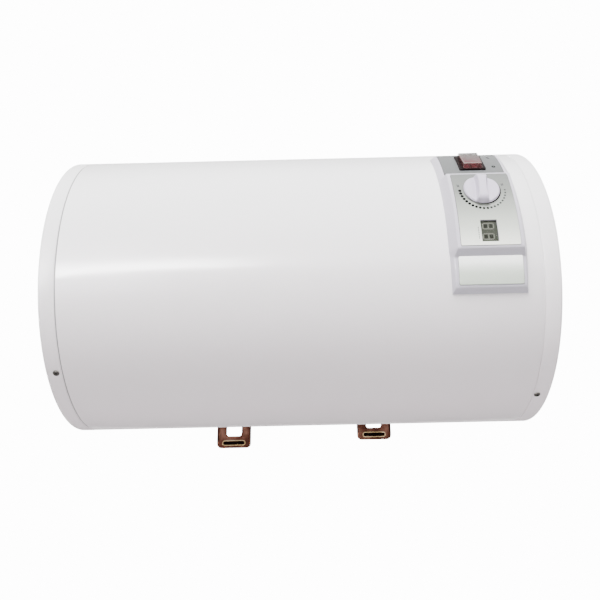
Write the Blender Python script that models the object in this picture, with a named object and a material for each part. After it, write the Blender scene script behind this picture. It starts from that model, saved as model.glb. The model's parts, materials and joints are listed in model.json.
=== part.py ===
"""A wall-hung electric storage water heater: a horizontal drum with a control panel at its right end.

Metres, +Z up. The origin lies on the wall plane, level with the drum's axis and midway between the two
wall brackets. +X runs along the drum towards the control panel, and +Y runs into the wall.
"""

from math import acos, cos, pi, radians, sin

import bmesh
import bpy
from mathutils import Matrix, Vector

# Driving dimensions
SHELL_R = 0.170
SHEET = 0.001
AXIS_Y = -0.188  # the drum's axis, in front of the wall
SEAM_X = 0.2575  # where each end cap meets the shell
END_X = 0.2763
JOGGLE_R = SHELL_R - 0.002  # the shell's ends step in under the cap skirts
GAP = 0.0003  # between pieces that rest on each other
ROUND = 56

TANK_R = 0.152
TANK_WALL = 0.002
TANK_X = (-0.205, 0.137)  # the straight part of the inner tank
DOME = 0.035
NECK_R = (0.032, 0.049)
NECK_X = 0.181
FOAM_X = (-0.2545, 0.1668)

PANEL_X = 0.1998
PANEL_HIGH_R = 0.1842  # top of the dial section
PANEL_LOW_R = 0.176  # top of the switch and plate sections
PANEL_WALL = 0.0024
FILM = 0.0004
KNOB_X, KNOB_ANGLE = 0.1981, radians(9.5)
DISPLAY_X, DISPLAY_ANGLE = 0.1997, radians(-6.2)
DISPLAY_SIZE = (0.0170, 0.0240)
SWITCH_X, SWITCH_ANGLE = 0.1988, radians(29.3)
ROCKER_PIVOT = -0.003
ROCKER_TILT = radians(8)
KNOB_R = 0.0191
KNOB_REST = radians(-5)  # the grip bar leans a little at rest

BRACKET_XS = (-0.1015, 0.1015)
BRACKET_LIFTS = (-0.0046, 0.0035)
BRACKET_WIDTH = 0.0492
BRACKET_PLATE = 0.0025
BRACKET_SET = -0.0110  # the middle of each strap stands this far off the wall
SLOT_Z = 0.1478
SLOT_SIZE = (0.0300, 0.0046)
SLOT_FLOOR = 0.0008  # the slot is a pressed pocket, closed on the wall side
WINDOW_SIZE = (0.0214, 0.0232)
WINDOW_Z = 0.1263
FOOT_END = 0.1548
BOLT_Z = 0.040

PIPE_XS = (-0.050, 0.050)
PIPE_R = 0.0104
PIPE_BORE = 0.0075
PIPE_TOP = 0.196

CAP_SCREWS = {"left": (-0.2642, (-53.7, 66.3, 186.3)), "right": (0.2616, (-69.8, 63.0, 178.0))}


# Scene and materials


def clear_scene():
    for obj in list(bpy.data.objects):
        bpy.data.objects.remove(obj, do_unlink=True)


def material(name, colour, roughness, metallic=0.0, alpha=1.0):
    made = bpy.data.materials.new(name)
    made.use_nodes = True
    shader = made.node_tree.nodes["Principled BSDF"]
    shader.inputs["Base Color"].default_value = (*colour, 1.0)
    shader.inputs["Roughness"].default_value = roughness
    shader.inputs["Metallic"].default_value = metallic
    shader.inputs["Alpha"].default_value = alpha
    made.diffuse_color = (*colour, alpha)
    return made


def make_materials():
    return {
        "white_paint": material("white_paint", (0.84, 0.84, 0.85), 0.3),
        "white_plastic": material("white_plastic", (0.80, 0.77, 0.83), 0.38),
        "silver_film": material("silver_film", (0.62, 0.66, 0.64), 0.32, 0.6),
        "black_plastic": material("black_plastic", (0.02, 0.02, 0.022), 0.4),
        "red_lens": material("red_lens", (0.70, 0.03, 0.04), 0.2),
        "clear_boot": material("clear_boot", (0.80, 0.74, 0.74), 0.15, 0.0, 0.35),
        "smoked_lens": material("smoked_lens", (0.20, 0.22, 0.20), 0.12),
        "plated_steel": material("plated_steel", (0.42, 0.20, 0.10), 0.38, 0.85),
        "bare_steel": material("bare_steel", (0.55, 0.55, 0.56), 0.35, 1.0),
        "dark_steel": material("dark_steel", (0.10, 0.10, 0.10), 0.45, 0.8),
        "enamel": material("enamel", (0.05, 0.09, 0.22), 0.25),
        "foam": material("foam", (0.82, 0.70, 0.42), 0.9),
        "rubber": material("rubber", (0.03, 0.03, 0.03), 0.8),
        "copper": material("copper", (0.72, 0.38, 0.22), 0.3, 1.0),
        "magnesium": material("magnesium", (0.60, 0.60, 0.58), 0.6, 0.9),
        "phenolic": material("phenolic", (0.05, 0.04, 0.035), 0.5),
        "blue_plastic": material("blue_plastic", (0.03, 0.16, 0.60), 0.4),
        "red_plastic": material("red_plastic", (0.65, 0.03, 0.03), 0.4),
        "circuit_board": material("circuit_board", (0.05, 0.24, 0.10), 0.5),
        "wire": material("wire", (0.35, 0.16, 0.05), 0.5),
    }


# Places on the drum


def on_drum(x, radius, angle):
    """A point in front of the axis at angle 0, above it at 90 degrees."""
    return Vector((x, AXIS_Y - radius * cos(angle), radius * sin(angle)))


def put_on_drum(obj, x, radius, angle):
    """Stands a piece on the drum, with its own Z along the outward normal and its own X along the drum."""
    obj.location = on_drum(x, radius, angle)
    obj.rotation_euler = (pi / 2 - angle, 0, 0)
    return obj


def put_along_axis(obj, x=0.0, y=0.0, z=0.0):
    """Lays a turned piece along the drum: its own Z becomes +X. y and z count from the drum's axis."""
    obj.location = (x, AXIS_Y + y, z)
    obj.rotation_euler = (0, pi / 2, 0)
    return obj


# Mesh helpers


def object_from(name, points, faces, look):
    mesh = bpy.data.meshes.new(name)
    mesh.from_pydata([tuple(p) for p in points], [], faces)
    checked = bmesh.new()
    checked.from_mesh(mesh)
    bmesh.ops.recalc_face_normals(checked, faces=checked.faces)
    checked.to_mesh(mesh)
    checked.free()
    made = bpy.data.objects.new(name, mesh)
    bpy.context.scene.collection.objects.link(made)
    if look:
        mesh.materials.append(look)
    return made


def smooth(obj, degrees=35):
    obj.data.shade_smooth()
    obj.data.set_sharp_from_angle(angle=radians(degrees))
    return obj


def ring(radius, z, count, corners=0):
    """Points around Z. With corners=6 they lie on a hexagon whose corners are at the radius."""
    found = []
    for i in range(count):
        angle = 2 * pi * i / count
        reach = radius
        if corners:
            step = 2 * pi / corners
            reach = radius * cos(step / 2) / cos((angle % step) - step / 2)
        found.append((reach * cos(angle), reach * sin(angle), z))
    return found


def loft(name, sections, look, closed=False):
    """Skins rings with equal point counts. A one-point section is a pole; closed joins last to first."""
    points, starts = [], []
    for section in sections:
        starts.append(len(points))
        points.extend(section)
    faces = []
    pairs = list(zip(range(len(sections)), range(1, len(sections))))
    if closed:
        pairs.append((len(sections) - 1, 0))
    for low, high in pairs:
        a, b = starts[low], starts[high]
        na, nb = len(sections[low]), len(sections[high])
        for i in range(max(na, nb)):
            j = (i + 1) % max(na, nb)
            corners = [a + i % na, a + j % na, b + j % nb, b + i % nb]
            faces.append(list(dict.fromkeys(corners)))
    if not closed:
        if len(sections[0]) > 1:
            faces.append(list(reversed(range(starts[0], starts[0] + len(sections[0])))))
        if len(sections[-1]) > 1:
            faces.append(list(range(starts[-1], starts[-1] + len(sections[-1]))))
    return object_from(name, points, faces, look)


def turned(name, profile, look, count=ROUND):
    """A solid of revolution about Z. The profile lists (z, radius) from the low rim to the high one."""
    sections = [ring(r, z, count) if r > 0 else [(0, 0, z)] for z, r in profile]
    return smooth(loft(name, sections, look))


def turned_ring(name, profile, look, count=ROUND):
    """A hollow turned piece: the profile is a loop of (z, radius), out along the outside and back inside."""
    sections = [ring(r, z, count) for z, r in profile]
    return smooth(loft(name, sections, look, closed=True))


def fastener(name, stations, look, count=12):
    """A screw or bolt from (z, radius, corners) stations, drawn from its tip up to its head."""
    return smooth(loft(name, [ring(r, z, count, n) for z, r, n in stations], look), 40)


def block(name, size, centre, look):
    half = [s / 2 for s in size]
    sections = []
    for z in (-half[2], half[2]):
        corners = [(-1, -1), (1, -1), (1, 1), (-1, 1)]
        sections.append([(centre[0] + sx * half[0], centre[1] + sy * half[1], centre[2] + z) for sx,
            sy in corners])
    return loft(name, sections, look)


def rounded_outline(width, height, radius, steps=4):
    """A rounded rectangle in XY, anticlockwise."""
    points = []
    for quarter, (sx, sy) in enumerate(((1, 1), (-1, 1), (-1, -1), (1, -1))):
        centre = (sx * (width / 2 - radius), sy * (height / 2 - radius))
        for i in range(steps + 1):
            angle = quarter * pi / 2 + i * pi / 2 / steps
            points.append((centre[0] + radius * cos(angle), centre[1] + radius * sin(angle)))
    return points


def prism(name, outline, low, high, look):
    return loft(name, [[(x, y, z) for x, y in outline] for z in (low, high)], look)


def arc_patch(name, x_span, angle_span, r_span, look, steps):
    """A piece of a tube around the drum's axis, in world coordinates."""
    sections = []
    for i in range(steps + 1):
        angle = angle_span[0] + (angle_span[1] - angle_span[0]) * i / steps
        corners = ((x_span[0], r_span[0]), (x_span[0], r_span[1]), (x_span[1], r_span[1]),
            (x_span[1], r_span[0]))
        sections.append([on_drum(x, r, angle) for x, r in corners])
    return smooth(loft(name, sections, look), 30)


def tube_along(name, points, radius, look, resolution=1):
    """A round rod or wire along a smooth list of points."""
    curve = bpy.data.curves.new(name, "CURVE")
    curve.dimensions = "3D"
    curve.bevel_depth = radius
    curve.bevel_resolution = resolution
    curve.use_fill_caps = True
    spline = curve.splines.new("POLY")
    spline.points.add(len(points) - 1)
    for point, place in zip(spline.points, points):
        point.co = (*place, 1.0)
    curve.materials.append(look)
    made = bpy.data.objects.new(name, curve)
    bpy.context.scene.collection.objects.link(made)
    return made


def smooth_route(stops, per_span=4):
    """A Catmull-Rom curve through the stops."""
    stops = [Vector(s) for s in stops]
    padded = [2 * stops[0] - stops[1], *stops, 2 * stops[-1] - stops[-2]]
    route = []
    for i in range(1, len(padded) - 2):
        before, start, end, after = padded[i - 1 : i + 3]
        for step in range(per_span):
            t = step / per_span
            route.append(
                0.5
                * (
                    2 * start
                    + (end - before) * t
                    + (2 * before - 5 * start + 4 * end - after) * t**2
                    + (3 * start - before - 3 * end + after) * t**3
                )
            )
    route.append(stops[-1])
    return route


def as_helper(obj):
    obj.hide_render = True
    obj.display_type = "WIRE"
    return obj


def combine(target, tool, operation):
    change = target.modifiers.new(f"{operation.lower()}_{tool.name}", "BOOLEAN")
    change.operation = operation
    change.solver = "EXACT"
    change.object = as_helper(tool)
    return target


def cut(target, *tools):
    for tool in tools:
        combine(target, tool, "DIFFERENCE")
    return target


def join(target, *tools):
    for tool in tools:
        combine(target, tool, "UNION")
    return target


def drill(name, radius, low, high, count=24):
    """A cylinder cutter along its own Z."""
    return turned(name, [(low, radius), (high, radius)], None, count)


def drill_drum(name, x, angle, radius, low, high, count=24):
    """A radial drill through the drum, between two distances from its axis."""
    return put_on_drum(drill(name, radius, low, high, count), x, 0, angle)


# Shell and caps


def screw_places(side):
    x, angles = CAP_SCREWS[side]
    return [(f"{side}_cap_screw_{i}", x, radians(angle)) for i, angle in enumerate(angles, 1)]


def make_outer_shell(looks):
    end, step = END_X - 0.0065, SEAM_X - SHEET
    inside = SHELL_R - SHEET
    profile = [
        (-end, JOGGLE_R),
        (-SEAM_X, JOGGLE_R),
        (-SEAM_X, SHELL_R),
        (SEAM_X, SHELL_R),
        (SEAM_X, JOGGLE_R),
        (end, JOGGLE_R),
        (end, JOGGLE_R - SHEET),
        (step, JOGGLE_R - SHEET),
        (step, inside),
        (-step, inside),
        (-step, JOGGLE_R - SHEET),
        (-end, JOGGLE_R - SHEET),
    ]
    shell = put_along_axis(turned_ring("outer_shell", profile, looks["white_paint"]))
    window = arc_patch("shell_panel_window", (0.177, 0.224), (radians(-11), radians(37)), (0.160, 0.175),
        None, 16)
    cut(shell, window)
    for side in CAP_SCREWS:
        for name, x, angle in screw_places(side):
            cut(shell, drill_drum(f"{name}_shell_hole", x, angle, 0.0021, 0.160, 0.175, 12))
    for name, x, angle in panel_screw_places():
        cut(shell, drill_drum(f"{name}_shell_hole", x, angle, 0.0019, 0.160, 0.175, 12))
    for name, x, z in bracket_bolt_places():
        cut(shell, bolt_drill(f"{name}_shell_hole", x, z, 0.0046, 0.150, 0.180))
    for name, x in pipe_places():
        cut(shell, drill_drum(f"{name}_shell_hole", x, pi / 2, PIPE_R + 0.0012, 0.160, 0.175))
    return shell


def make_end_cap(side, looks):
    out = -1 if side == "left" else 1
    skirt_in = SHELL_R - 0.0014
    face = END_X - 0.0015
    profile = [
        (face, 0),
        (face, 0.146),
        (face - 0.003, 0.150),
        (face - 0.003, skirt_in),
        (SEAM_X + GAP, skirt_in),
        (SEAM_X + GAP, SHELL_R),
        (END_X - 0.0032, SHELL_R),
        (END_X - 0.0008, SHELL_R - 0.0012),
        (END_X, SHELL_R - 0.0036),
        (END_X, 0.1565),
        (END_X - 0.0032, 0.1505),
        (END_X, 0.1440),
        (END_X, 0),
    ]
    cap = turned(f"{side}_end_cap", [(out * z, r) for z, r in profile], looks["white_paint"])
    put_along_axis(cap)
    for name, x, angle in screw_places(side):
        cut(cap, drill_drum(f"{name}_cap_hole", x, angle, 0.0023, 0.160, 0.180, 12))
    return cap


def make_cap_screws(looks):
    for side in CAP_SCREWS:
        for name, x, angle in screw_places(side):
            stations = [(-0.0100, 0.0006, 0), (-0.0085, 0.0017, 0), (0.0003, 0.0018, 0), (0.0003, 0.0036, 0)]
            stations += [(0.0012, 0.0034, 0), (0.0020, 0.0022, 0)]
            screw = fastener(name, stations, looks["dark_steel"], 12)
            put_on_drum(screw, x, SHELL_R, angle)


# Control panel


def panel_screw_places():
    places = [(PANEL_X + sx * 0.0282, radians(angle)) for sx in (-1, 1) for angle in (-18.5, 34.0)]
    return [(f"panel_screw_{i}", x, angle) for i, (x, angle) in enumerate(places, 1)]


# (angle in degrees, radius of the top face, half width at the top and at the base), from the low end up
PANEL_OUTSIDE = (
    (-27.2, SHELL_R + 0.0009, 0.0393, 0.0398),
    (-24.8, PANEL_LOW_R, 0.0357, 0.0396),
    (-14.0, PANEL_LOW_R, 0.0357, 0.0404),
    (-12.1, PANEL_HIGH_R, 0.0357, 0.0412),
    (18.6, PANEL_HIGH_R, 0.0357, 0.0412),
    (19.9, PANEL_LOW_R, 0.0357, 0.0412),
    (38.4, PANEL_LOW_R, 0.0355, 0.0412),
    (39.5, SHELL_R + 0.0030, 0.0352, 0.0404),
)
PANEL_INSIDE = (
    (-25.9, SHELL_R - 0.0005, 0.0333, 0.0366),
    (-24.3, PANEL_LOW_R - PANEL_WALL, 0.0333, 0.0370),
    (-12.9, PANEL_LOW_R - PANEL_WALL, 0.0333, 0.0382),
    (-11.3, PANEL_HIGH_R - PANEL_WALL, 0.0333, 0.0386),
    (17.9, PANEL_HIGH_R - PANEL_WALL, 0.0333, 0.0386),
    (19.0, PANEL_LOW_R - PANEL_WALL, 0.0333, 0.0386),
    (37.7, PANEL_LOW_R - PANEL_WALL, 0.0333, 0.0386),
)


def panel_rings(stops, base):
    """Rings across the panel, filled in between the stops so that it follows the drum."""
    filled = []
    for first, last in zip(stops, stops[1:]):
        steps = max(1, round((last[0] - first[0]) / 2.2))
        for i in range(steps):
            filled.append([a + (b - a) * i / steps for a, b in zip(first, last)])
    filled.append(stops[-1])
    rings = []
    for angle, top, half_top, half_base in filled:
        corners = ((-half_base, base), (-half_top, top), (half_top, top), (half_base, base))
        rings.append([on_drum(PANEL_X + dx, r, radians(angle)) for dx, r in corners])
    return rings


def make_panel_housing(looks):
    housing = loft("panel_housing", panel_rings(PANEL_OUTSIDE, SHELL_R + GAP), looks["white_plastic"])
    cut(housing, loft("panel_hollow", panel_rings(PANEL_INSIDE, SHELL_R - 0.001), None))
    for name, x, angle in panel_screw_places():
        boss = drill_drum(f"{name}_boss", x, angle, 0.0035, SHELL_R + 0.0006, PANEL_LOW_R - 0.0010, 16)
        join(housing, boss)
        cut(housing, drill_drum(f"{name}_pilot", x, angle, 0.0015, 0.165, 0.1745, 12))
    cut(housing, put_on_drum(drill("knob_housing_hole", 0.0045, -0.010, 0.010), KNOB_X, PANEL_HIGH_R,
        KNOB_ANGLE))
    lens_hole = block("display_housing_hole", (DISPLAY_SIZE[0] + 0.0006, DISPLAY_SIZE[1] + 0.0006, 0.02),
        (0, 0, 0), None)
    cut(housing, put_on_drum(lens_hole, DISPLAY_X, PANEL_HIGH_R, DISPLAY_ANGLE))
    switch_hole = block("switch_housing_hole", (0.0228, 0.0288, 0.02), (0, 0, 0), None)
    cut(housing, put_on_drum(switch_hole, SWITCH_X, PANEL_LOW_R, SWITCH_ANGLE))
    return smooth(housing, 20)


def make_films(looks):
    look = looks["silver_film"]
    high = (PANEL_HIGH_R + GAP, PANEL_HIGH_R + GAP + FILM)
    low = (PANEL_LOW_R + GAP, PANEL_LOW_R + GAP + FILM)
    fascia = arc_patch("dial_fascia", (0.1688, 0.2308), (radians(-11.2), radians(17.7)), high, look, 20)
    cut(fascia, put_on_drum(drill("knob_film_hole", 0.0050, -0.010, 0.010), KNOB_X, PANEL_HIGH_R, KNOB_ANGLE))
    lens_hole = block("display_film_hole", (DISPLAY_SIZE[0] + 0.0006, DISPLAY_SIZE[1] + 0.0006, 0.02),
        (0, 0, 0), None)
    cut(fascia, put_on_drum(lens_hole, DISPLAY_X, PANEL_HIGH_R, DISPLAY_ANGLE))
    strip = arc_patch("switch_strip", (0.1655, 0.2330), (radians(21.2), radians(37.7)), low, look, 12)
    switch_hole = block("switch_film_hole", (0.0240, 0.0300, 0.02), (0, 0, 0), None)
    cut(strip, put_on_drum(switch_hole, SWITCH_X, PANEL_LOW_R, SWITCH_ANGLE))
    arc_patch("name_plate", (0.1667, 0.2337), (radians(-23.9), radians(-14.2)), low, look, 8)


def make_panel_screws(looks):
    for name, x, angle in panel_screw_places():
        stations = [(0.0040, 0.0008, 0), (0.0036, 0.0012, 0), (-0.0014, 0.0012, 0), (-0.0014, 0.0030, 0)]
        stations += [(-0.0028, 0.0028, 0), (-0.0034, 0.0018, 0)]
        screw = fastener(name, stations[::-1], looks["dark_steel"], 12)
        put_on_drum(screw, x, SHELL_R, angle)


# Mains switch


def on_switch(obj):
    return put_on_drum(obj, SWITCH_X, PANEL_LOW_R, SWITCH_ANGLE)


def make_switch(looks):
    frame = prism("switch_frame", rounded_outline(0.0299, 0.0346, 0.0016), -0.0020, 0.0019,
        looks["black_plastic"])
    cut(on_switch(frame), put_along_axis(drill("switch_frame_underside", 0.1770, 0.17, 0.23, 96)))
    body = block("switch_body", (0.0220, 0.0280, 0.0236), (0, 0, -0.0105), None)
    well = block("switch_well", (0.0200, 0.0262, 0.0200), (0, 0, 0.0030), None)
    join(frame, on_switch(body))
    cut(frame, on_switch(well))
    for i, y in enumerate((-0.008, 0.0, 0.008)):
        tab = block(f"switch_tab_{i}", (0.0063, 0.0008, 0.0090), (0, y, -0.0262), None)
        join(frame, on_switch(tab))

    rocker = loft("rocker", rocker_rings(), looks["red_lens"])
    put_on_drum(rocker, SWITCH_X, PANEL_LOW_R + ROCKER_PIVOT, SWITCH_ANGLE)

    boot = loft("rocker_boot", boot_rings(0.0), looks["clear_boot"])
    cut(on_switch(boot), on_switch(loft("rocker_boot_hollow", boot_rings(0.0009), None)))


def rocker_rings():
    """The rocker about its pivot, upper end raised. Its ends curve about the pivot; its top is a V."""
    side = [(0.0125, -0.0010), (0.0127, 0.0005), (0.0124, 0.0028), (0.0116, 0.0052)]
    outline = side + [(0, 0.0036)] + [(-y, z) for y, z in reversed(side)]
    tilted = [(y * cos(ROCKER_TILT) - z * sin(ROCKER_TILT),
        y * sin(ROCKER_TILT) + z * cos(ROCKER_TILT)) for y, z in outline]
    return [[(x, y, z) for y, z in tilted] for x in (-0.0095, 0.0095)]


def boot_rings(inset):
    """The clear boot over the rocker: a low box that leans in towards its top."""
    floor = 0.0022 - (0.0012 if inset else 0)
    base = (0.0109, -0.0168, 0.0153, 0.0010)
    crown = (0.0101, -0.0131, 0.0109, 0.0020)  # the far end flares to the left
    rings = []
    for (half, low, high, flare), z in ((base, floor), (base, 0.0032), (crown, 0.0078 - inset)):
        half, low, high = half - inset, low + inset, high - inset
        rings.append([(-half, low, z), (half, low, z), (half, high, z), (-half - flare, high, z)])
    return rings


# Thermostat, knob and display


def on_knob(obj):
    return put_on_drum(obj, KNOB_X, PANEL_HIGH_R + GAP + FILM, KNOB_ANGLE)


def grip_outline(waist, end, reach):
    """A bar along Y with waisted sides and blunt rounded ends."""
    side = []
    for i in range(-3, 4):
        side.append((waist + (end - waist) * (i / 3) ** 2, 0.84 * reach * i / 3))
    tip = [(end * 0.72, 0.96 * reach), (end * 0.30, reach)]
    right = [(x, -y) for x, y in reversed(tip)] + side + tip
    return right + [(-x, -y) for x, y in right]


def make_knob(looks):
    profile = [(0.0005, 0), (0.0005, KNOB_R - 0.0002), (0.0025, KNOB_R), (0.0034, KNOB_R - 0.0006),
        (0.0037, 0.0170)]
    profile += [(0.0030, 0.0120), (0.0030, 0)]
    knob = turned("thermostat_knob", profile, looks["white_plastic"], 36)
    rings = []
    for waist, end, reach, z in ((0.0060, 0.0074, 0.0182, 0.0022), (0.0044, 0.0060, 0.0172, 0.0068),
            (0.0037, 0.0048, 0.0146, 0.0097)):
        bar = [Matrix.Rotation(KNOB_REST, 2) @ Vector(point) for point in grip_outline(waist, end, reach)]
        rings.append([(x, y, z) for x, y in bar])
    grip = loft("knob_grip", rings, None)
    bore = drill("knob_bore", 0.0032, -0.002, 0.0090, 20)
    join(knob, grip)
    cut(knob, bore)
    for piece in (knob, grip, bore):
        on_knob(piece)
    smooth(knob, 30)

    spindle = [(-0.0080, 0), (-0.0080, 0.0028), (0.0080, 0.0028), (0.0086, 0.0022), (0.0086, 0)]
    on_knob(turned("thermostat_spindle", spindle, looks["bare_steel"], 16))


def make_thermostat(looks):
    body = block("thermostat", (0.0320, 0.0320, 0.0170), (0, 0, -0.0126), looks["phenolic"])
    collar = drill("thermostat_collar", 0.0040, -0.0060, -0.0012, 20)
    bore = drill("thermostat_bore", 0.0031, -0.0085, 0.0020, 20)
    tabs = [block(f"thermostat_tab_{i}", (0.0008, 0.0063, 0.0080), (x, 0.006, -0.0245), None) for i,
        x in enumerate((-0.008, 0.008))]
    join(body, collar, *tabs)
    cut(body, bore)
    for piece in (body, collar, bore, *tabs):
        on_knob(piece)


def make_display(looks):
    lens = block("display_lens", (*DISPLAY_SIZE, 0.0022), (0, 0, -0.0011), looks["smoked_lens"])
    put_on_drum(lens, DISPLAY_X, PANEL_HIGH_R, DISPLAY_ANGLE)
    board = block("display_module", (0.0260, 0.0340, 0.0016), (0, 0, -0.0100), looks["circuit_board"])
    digits = block("display_digits", (0.0150, 0.0220, 0.0068), (0, 0, -0.0064), None)
    join(board, digits)
    for piece in (board, digits):
        put_on_drum(piece, DISPLAY_X, PANEL_HIGH_R, DISPLAY_ANGLE)


# Inner tank, foam and water fittings


def dome(radius, length, first, last, steps=4):
    """Points (z, r) on a domed end, from its rim (first = 0) to its pole (last = 1)."""
    found = []
    for i in range(steps + 1):
        angle = (first + (last - first) * i / steps) * pi / 2
        found.append((length * sin(angle), radius * cos(angle)))
    return found


def dome_turn(radius, at_r):
    """How far round the dome, from 0 at its rim to 1 at its pole, its radius has shrunk to at_r."""
    return acos(at_r / radius) / (pi / 2)


def tank_profile(grow, neck_in):
    """One skin of the tank, from its left pole to the rim of its neck."""
    radius, length = TANK_R + grow, DOME + grow
    left = [(TANK_X[0] - z, r) for z, r in reversed(dome(radius, length, 0, 1))]
    left[0] = (left[0][0], 0)
    right = [(TANK_X[1] + z, r) for z, r in dome(radius, length, 0, dome_turn(radius, neck_in))]
    return left, right


def make_inner_tank(looks):
    left_out, right_out = tank_profile(0, NECK_R[1])
    left_in, right_in = tank_profile(-TANK_WALL, NECK_R[0])
    neck = [(NECK_X, NECK_R[1]), (NECK_X, NECK_R[0])]
    profile = left_out + right_out + neck + right_in[::-1] + left_in[::-1]
    tank = put_along_axis(turned("inner_tank", profile, looks["enamel"], 32))
    for name, x, z in bracket_bolt_places():
        join(tank, bolt_drill(f"{name}_boss", x, z, 0.0095, 0.138, 0.1505, 12))
        cut(tank, bolt_drill(f"{name}_thread", x, z, 0.0044, 0.1455, 0.160, 12))
    for name, x in pipe_places():
        cut(tank, drill_drum(f"{name}_tank_hole", x, pi / 2, PIPE_R + GAP, 0.140, 0.160, 20))
    for i, (y, z) in enumerate(flange_bolt_places(), 1):
        cut(tank, put_along_axis(drill(f"flange_thread_{i}", 0.0033, 0.1708, 0.190, 12), 0, y, z))
    return tank


def make_foam(looks):
    radius = SHELL_R - SHEET - 0.0006
    left, right = tank_profile(0.0006, NECK_R[1])
    mouth = right[:-1]  # the foam stops short of the flange
    outer = [(FOAM_X[0], 0), (FOAM_X[0], radius), (FOAM_X[1], radius), (FOAM_X[1], mouth[-1][1])]
    foam = put_along_axis(turned("foam_insulation", outer + mouth[::-1] + left[::-1], looks["foam"], 32))
    for name, x, z in bracket_bolt_places():
        cut(foam, bolt_drill(f"{name}_foam_hole", x, z, 0.0104, 0.135, 0.180, 12))
    for name, x in pipe_places():
        cut(foam, drill_drum(f"{name}_foam_hole", x, pi / 2, PIPE_R + 0.0012, 0.140, 0.180))
    return foam


def pipe_places():
    return [(name, x) for name, x in zip(("cold_inlet_pipe", "hot_outlet_pipe"), PIPE_XS)]


def make_pipes(looks):
    for (name, x), low, collar in zip(pipe_places(), (-0.130, 0.130), ("cold_collar", "hot_collar")):
        profile = [(low, PIPE_BORE), (low, 0.0088), (0.1400, 0.0088), (0.1420, PIPE_R),
            (PIPE_TOP - 0.0010, PIPE_R)]
        profile += [(PIPE_TOP, PIPE_R - 0.0008), (PIPE_TOP, PIPE_BORE)]
        put_on_drum(turned_ring(name, profile, looks["bare_steel"], 20), x, 0, pi / 2)
        low_r, high_r = SHELL_R + 0.0004, SHELL_R + 0.0040
        band = [(low_r, PIPE_R + GAP), (low_r, 0.0190), (low_r + 0.0012, 0.0195), (high_r, 0.0140),
            (high_r, PIPE_R + GAP)]
        look = looks["blue_plastic" if collar == "cold_collar" else "red_plastic"]
        put_on_drum(turned_ring(collar, band, look, 20), x, 0, pi / 2)


# Element flange, with what it carries


def flange_bolt_places():
    places = []
    for i in range(5):
        angle = radians(90 + 72 * i)
        places.append((0.0410 * cos(angle), 0.0410 * sin(angle)))
    return places


ELEMENT_Y = 0.0140
ELEMENT_Z = -0.0100
ELEMENT_R = 0.0040
WELL_Z = -0.0150
ANODE_Z = 0.0170
FLANGE_X = (NECK_X + 0.0030, NECK_X + 0.0070)


def make_flange(looks):
    ring_profile = [(NECK_X + GAP, 0.0325), (NECK_X + GAP, 0.0362), (FLANGE_X[0] - GAP, 0.0362),
        (FLANGE_X[0] - GAP, 0.0325)]
    put_along_axis(turned_ring("flange_gasket", ring_profile, looks["rubber"], 32))
    plate = [(FLANGE_X[0], 0.0480), (FLANGE_X[1], 0.0480)]
    flange = put_along_axis(turned("element_flange", plate, looks["bare_steel"], 32))
    holes = [(y, z, 0.0034) for y, z in flange_bolt_places()]
    holes += [(-ELEMENT_Y, ELEMENT_Z, ELEMENT_R + GAP), (ELEMENT_Y, ELEMENT_Z, ELEMENT_R + GAP)]
    holes += [(0, WELL_Z, 0.0050 + GAP), (0, ANODE_Z, 0.0040 + GAP)]
    for i, (y, z, radius) in enumerate(holes, 1):
        cut(flange, put_along_axis(drill(f"flange_hole_{i}", radius, 0.170, 0.200, 12), 0, y, z))
    head = FLANGE_X[1] + GAP
    for i, (y, z) in enumerate(flange_bolt_places(), 1):
        stations = [(0.1714, 0.0024, 0), (0.1722, 0.0029, 0), (head, 0.0029, 0), (head, 0.0056, 6)]
        stations += [(head + 0.0035, 0.0056, 6), (head + 0.0040, 0.0048, 6)]
        put_along_axis(fastener(f"flange_bolt_{i}", stations, looks["bare_steel"]), 0, y, z)


def make_heating_element(looks):
    tail, bend_from, bend_to, drop, tip = 0.2150, 0.165, 0.085, 0.070, -0.100

    def height(x):
        along = min(1.0, max(0.0, (bend_from - x) / (bend_from - bend_to)))
        return ELEMENT_Z - drop * along * along * (3 - 2 * along)

    xs = [tail, 0.19, bend_from] + [bend_from - (bend_from - bend_to) * i / 9 for i in range(1, 10)] + [0.0]
    leg = [(x, ELEMENT_Y, height(x)) for x in xs]
    turn = [(tip - ELEMENT_Y * sin(a), ELEMENT_Y * cos(a),
        height(tip)) for a in (pi * i / 10 for i in range(11))]
    route = leg + turn + [(x, -y, z) for x, y, z in reversed(leg)]
    tube_along("heating_element", [(x, AXIS_Y + y, z) for x, y, z in route], ELEMENT_R, looks["copper"], 1)


def make_anode_and_well(looks):
    plate = FLANGE_X[1] + GAP
    stations = [(-0.034, 0.0070, 0), (-0.030, 0.0100, 0), (0.1780, 0.0100, 0), (0.1780, 0.0040, 0),
        (plate, 0.0040, 0)]
    stations += [(plate, 0.0072, 6), (plate + 0.0060, 0.0072, 6), (plate + 0.0060, 0.0038, 0),
        (plate + 0.0095, 0.0038, 0)]
    put_along_axis(fastener("anode_rod", stations, looks["magnesium"], 12), 0, 0, ANODE_Z)
    tip, mouth = 0.010, plate + 0.0030
    well = [(tip, 0), (tip + 0.002, 0.0042), (tip + 0.005, 0.0050), (mouth, 0.0050), (mouth, 0.0038),
        (tip + 0.003, 0.0038)]
    well += [(tip + 0.003, 0)]
    put_along_axis(turned("thermowell", well, looks["copper"], 20), 0, 0, WELL_Z)
    bulb = [(0.020, 0), (0.022, 0.0030), (0.105, 0.0030), (0.108, 0.0010), (0.108, 0)]
    put_along_axis(turned("sensor_bulb", bulb, looks["copper"], 12), 0, 0, WELL_Z)


CUTOUT_X = (0.1960, 0.2100)
CUTOUT_Y = 0.0225
RESET_Z = -0.0005


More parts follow.
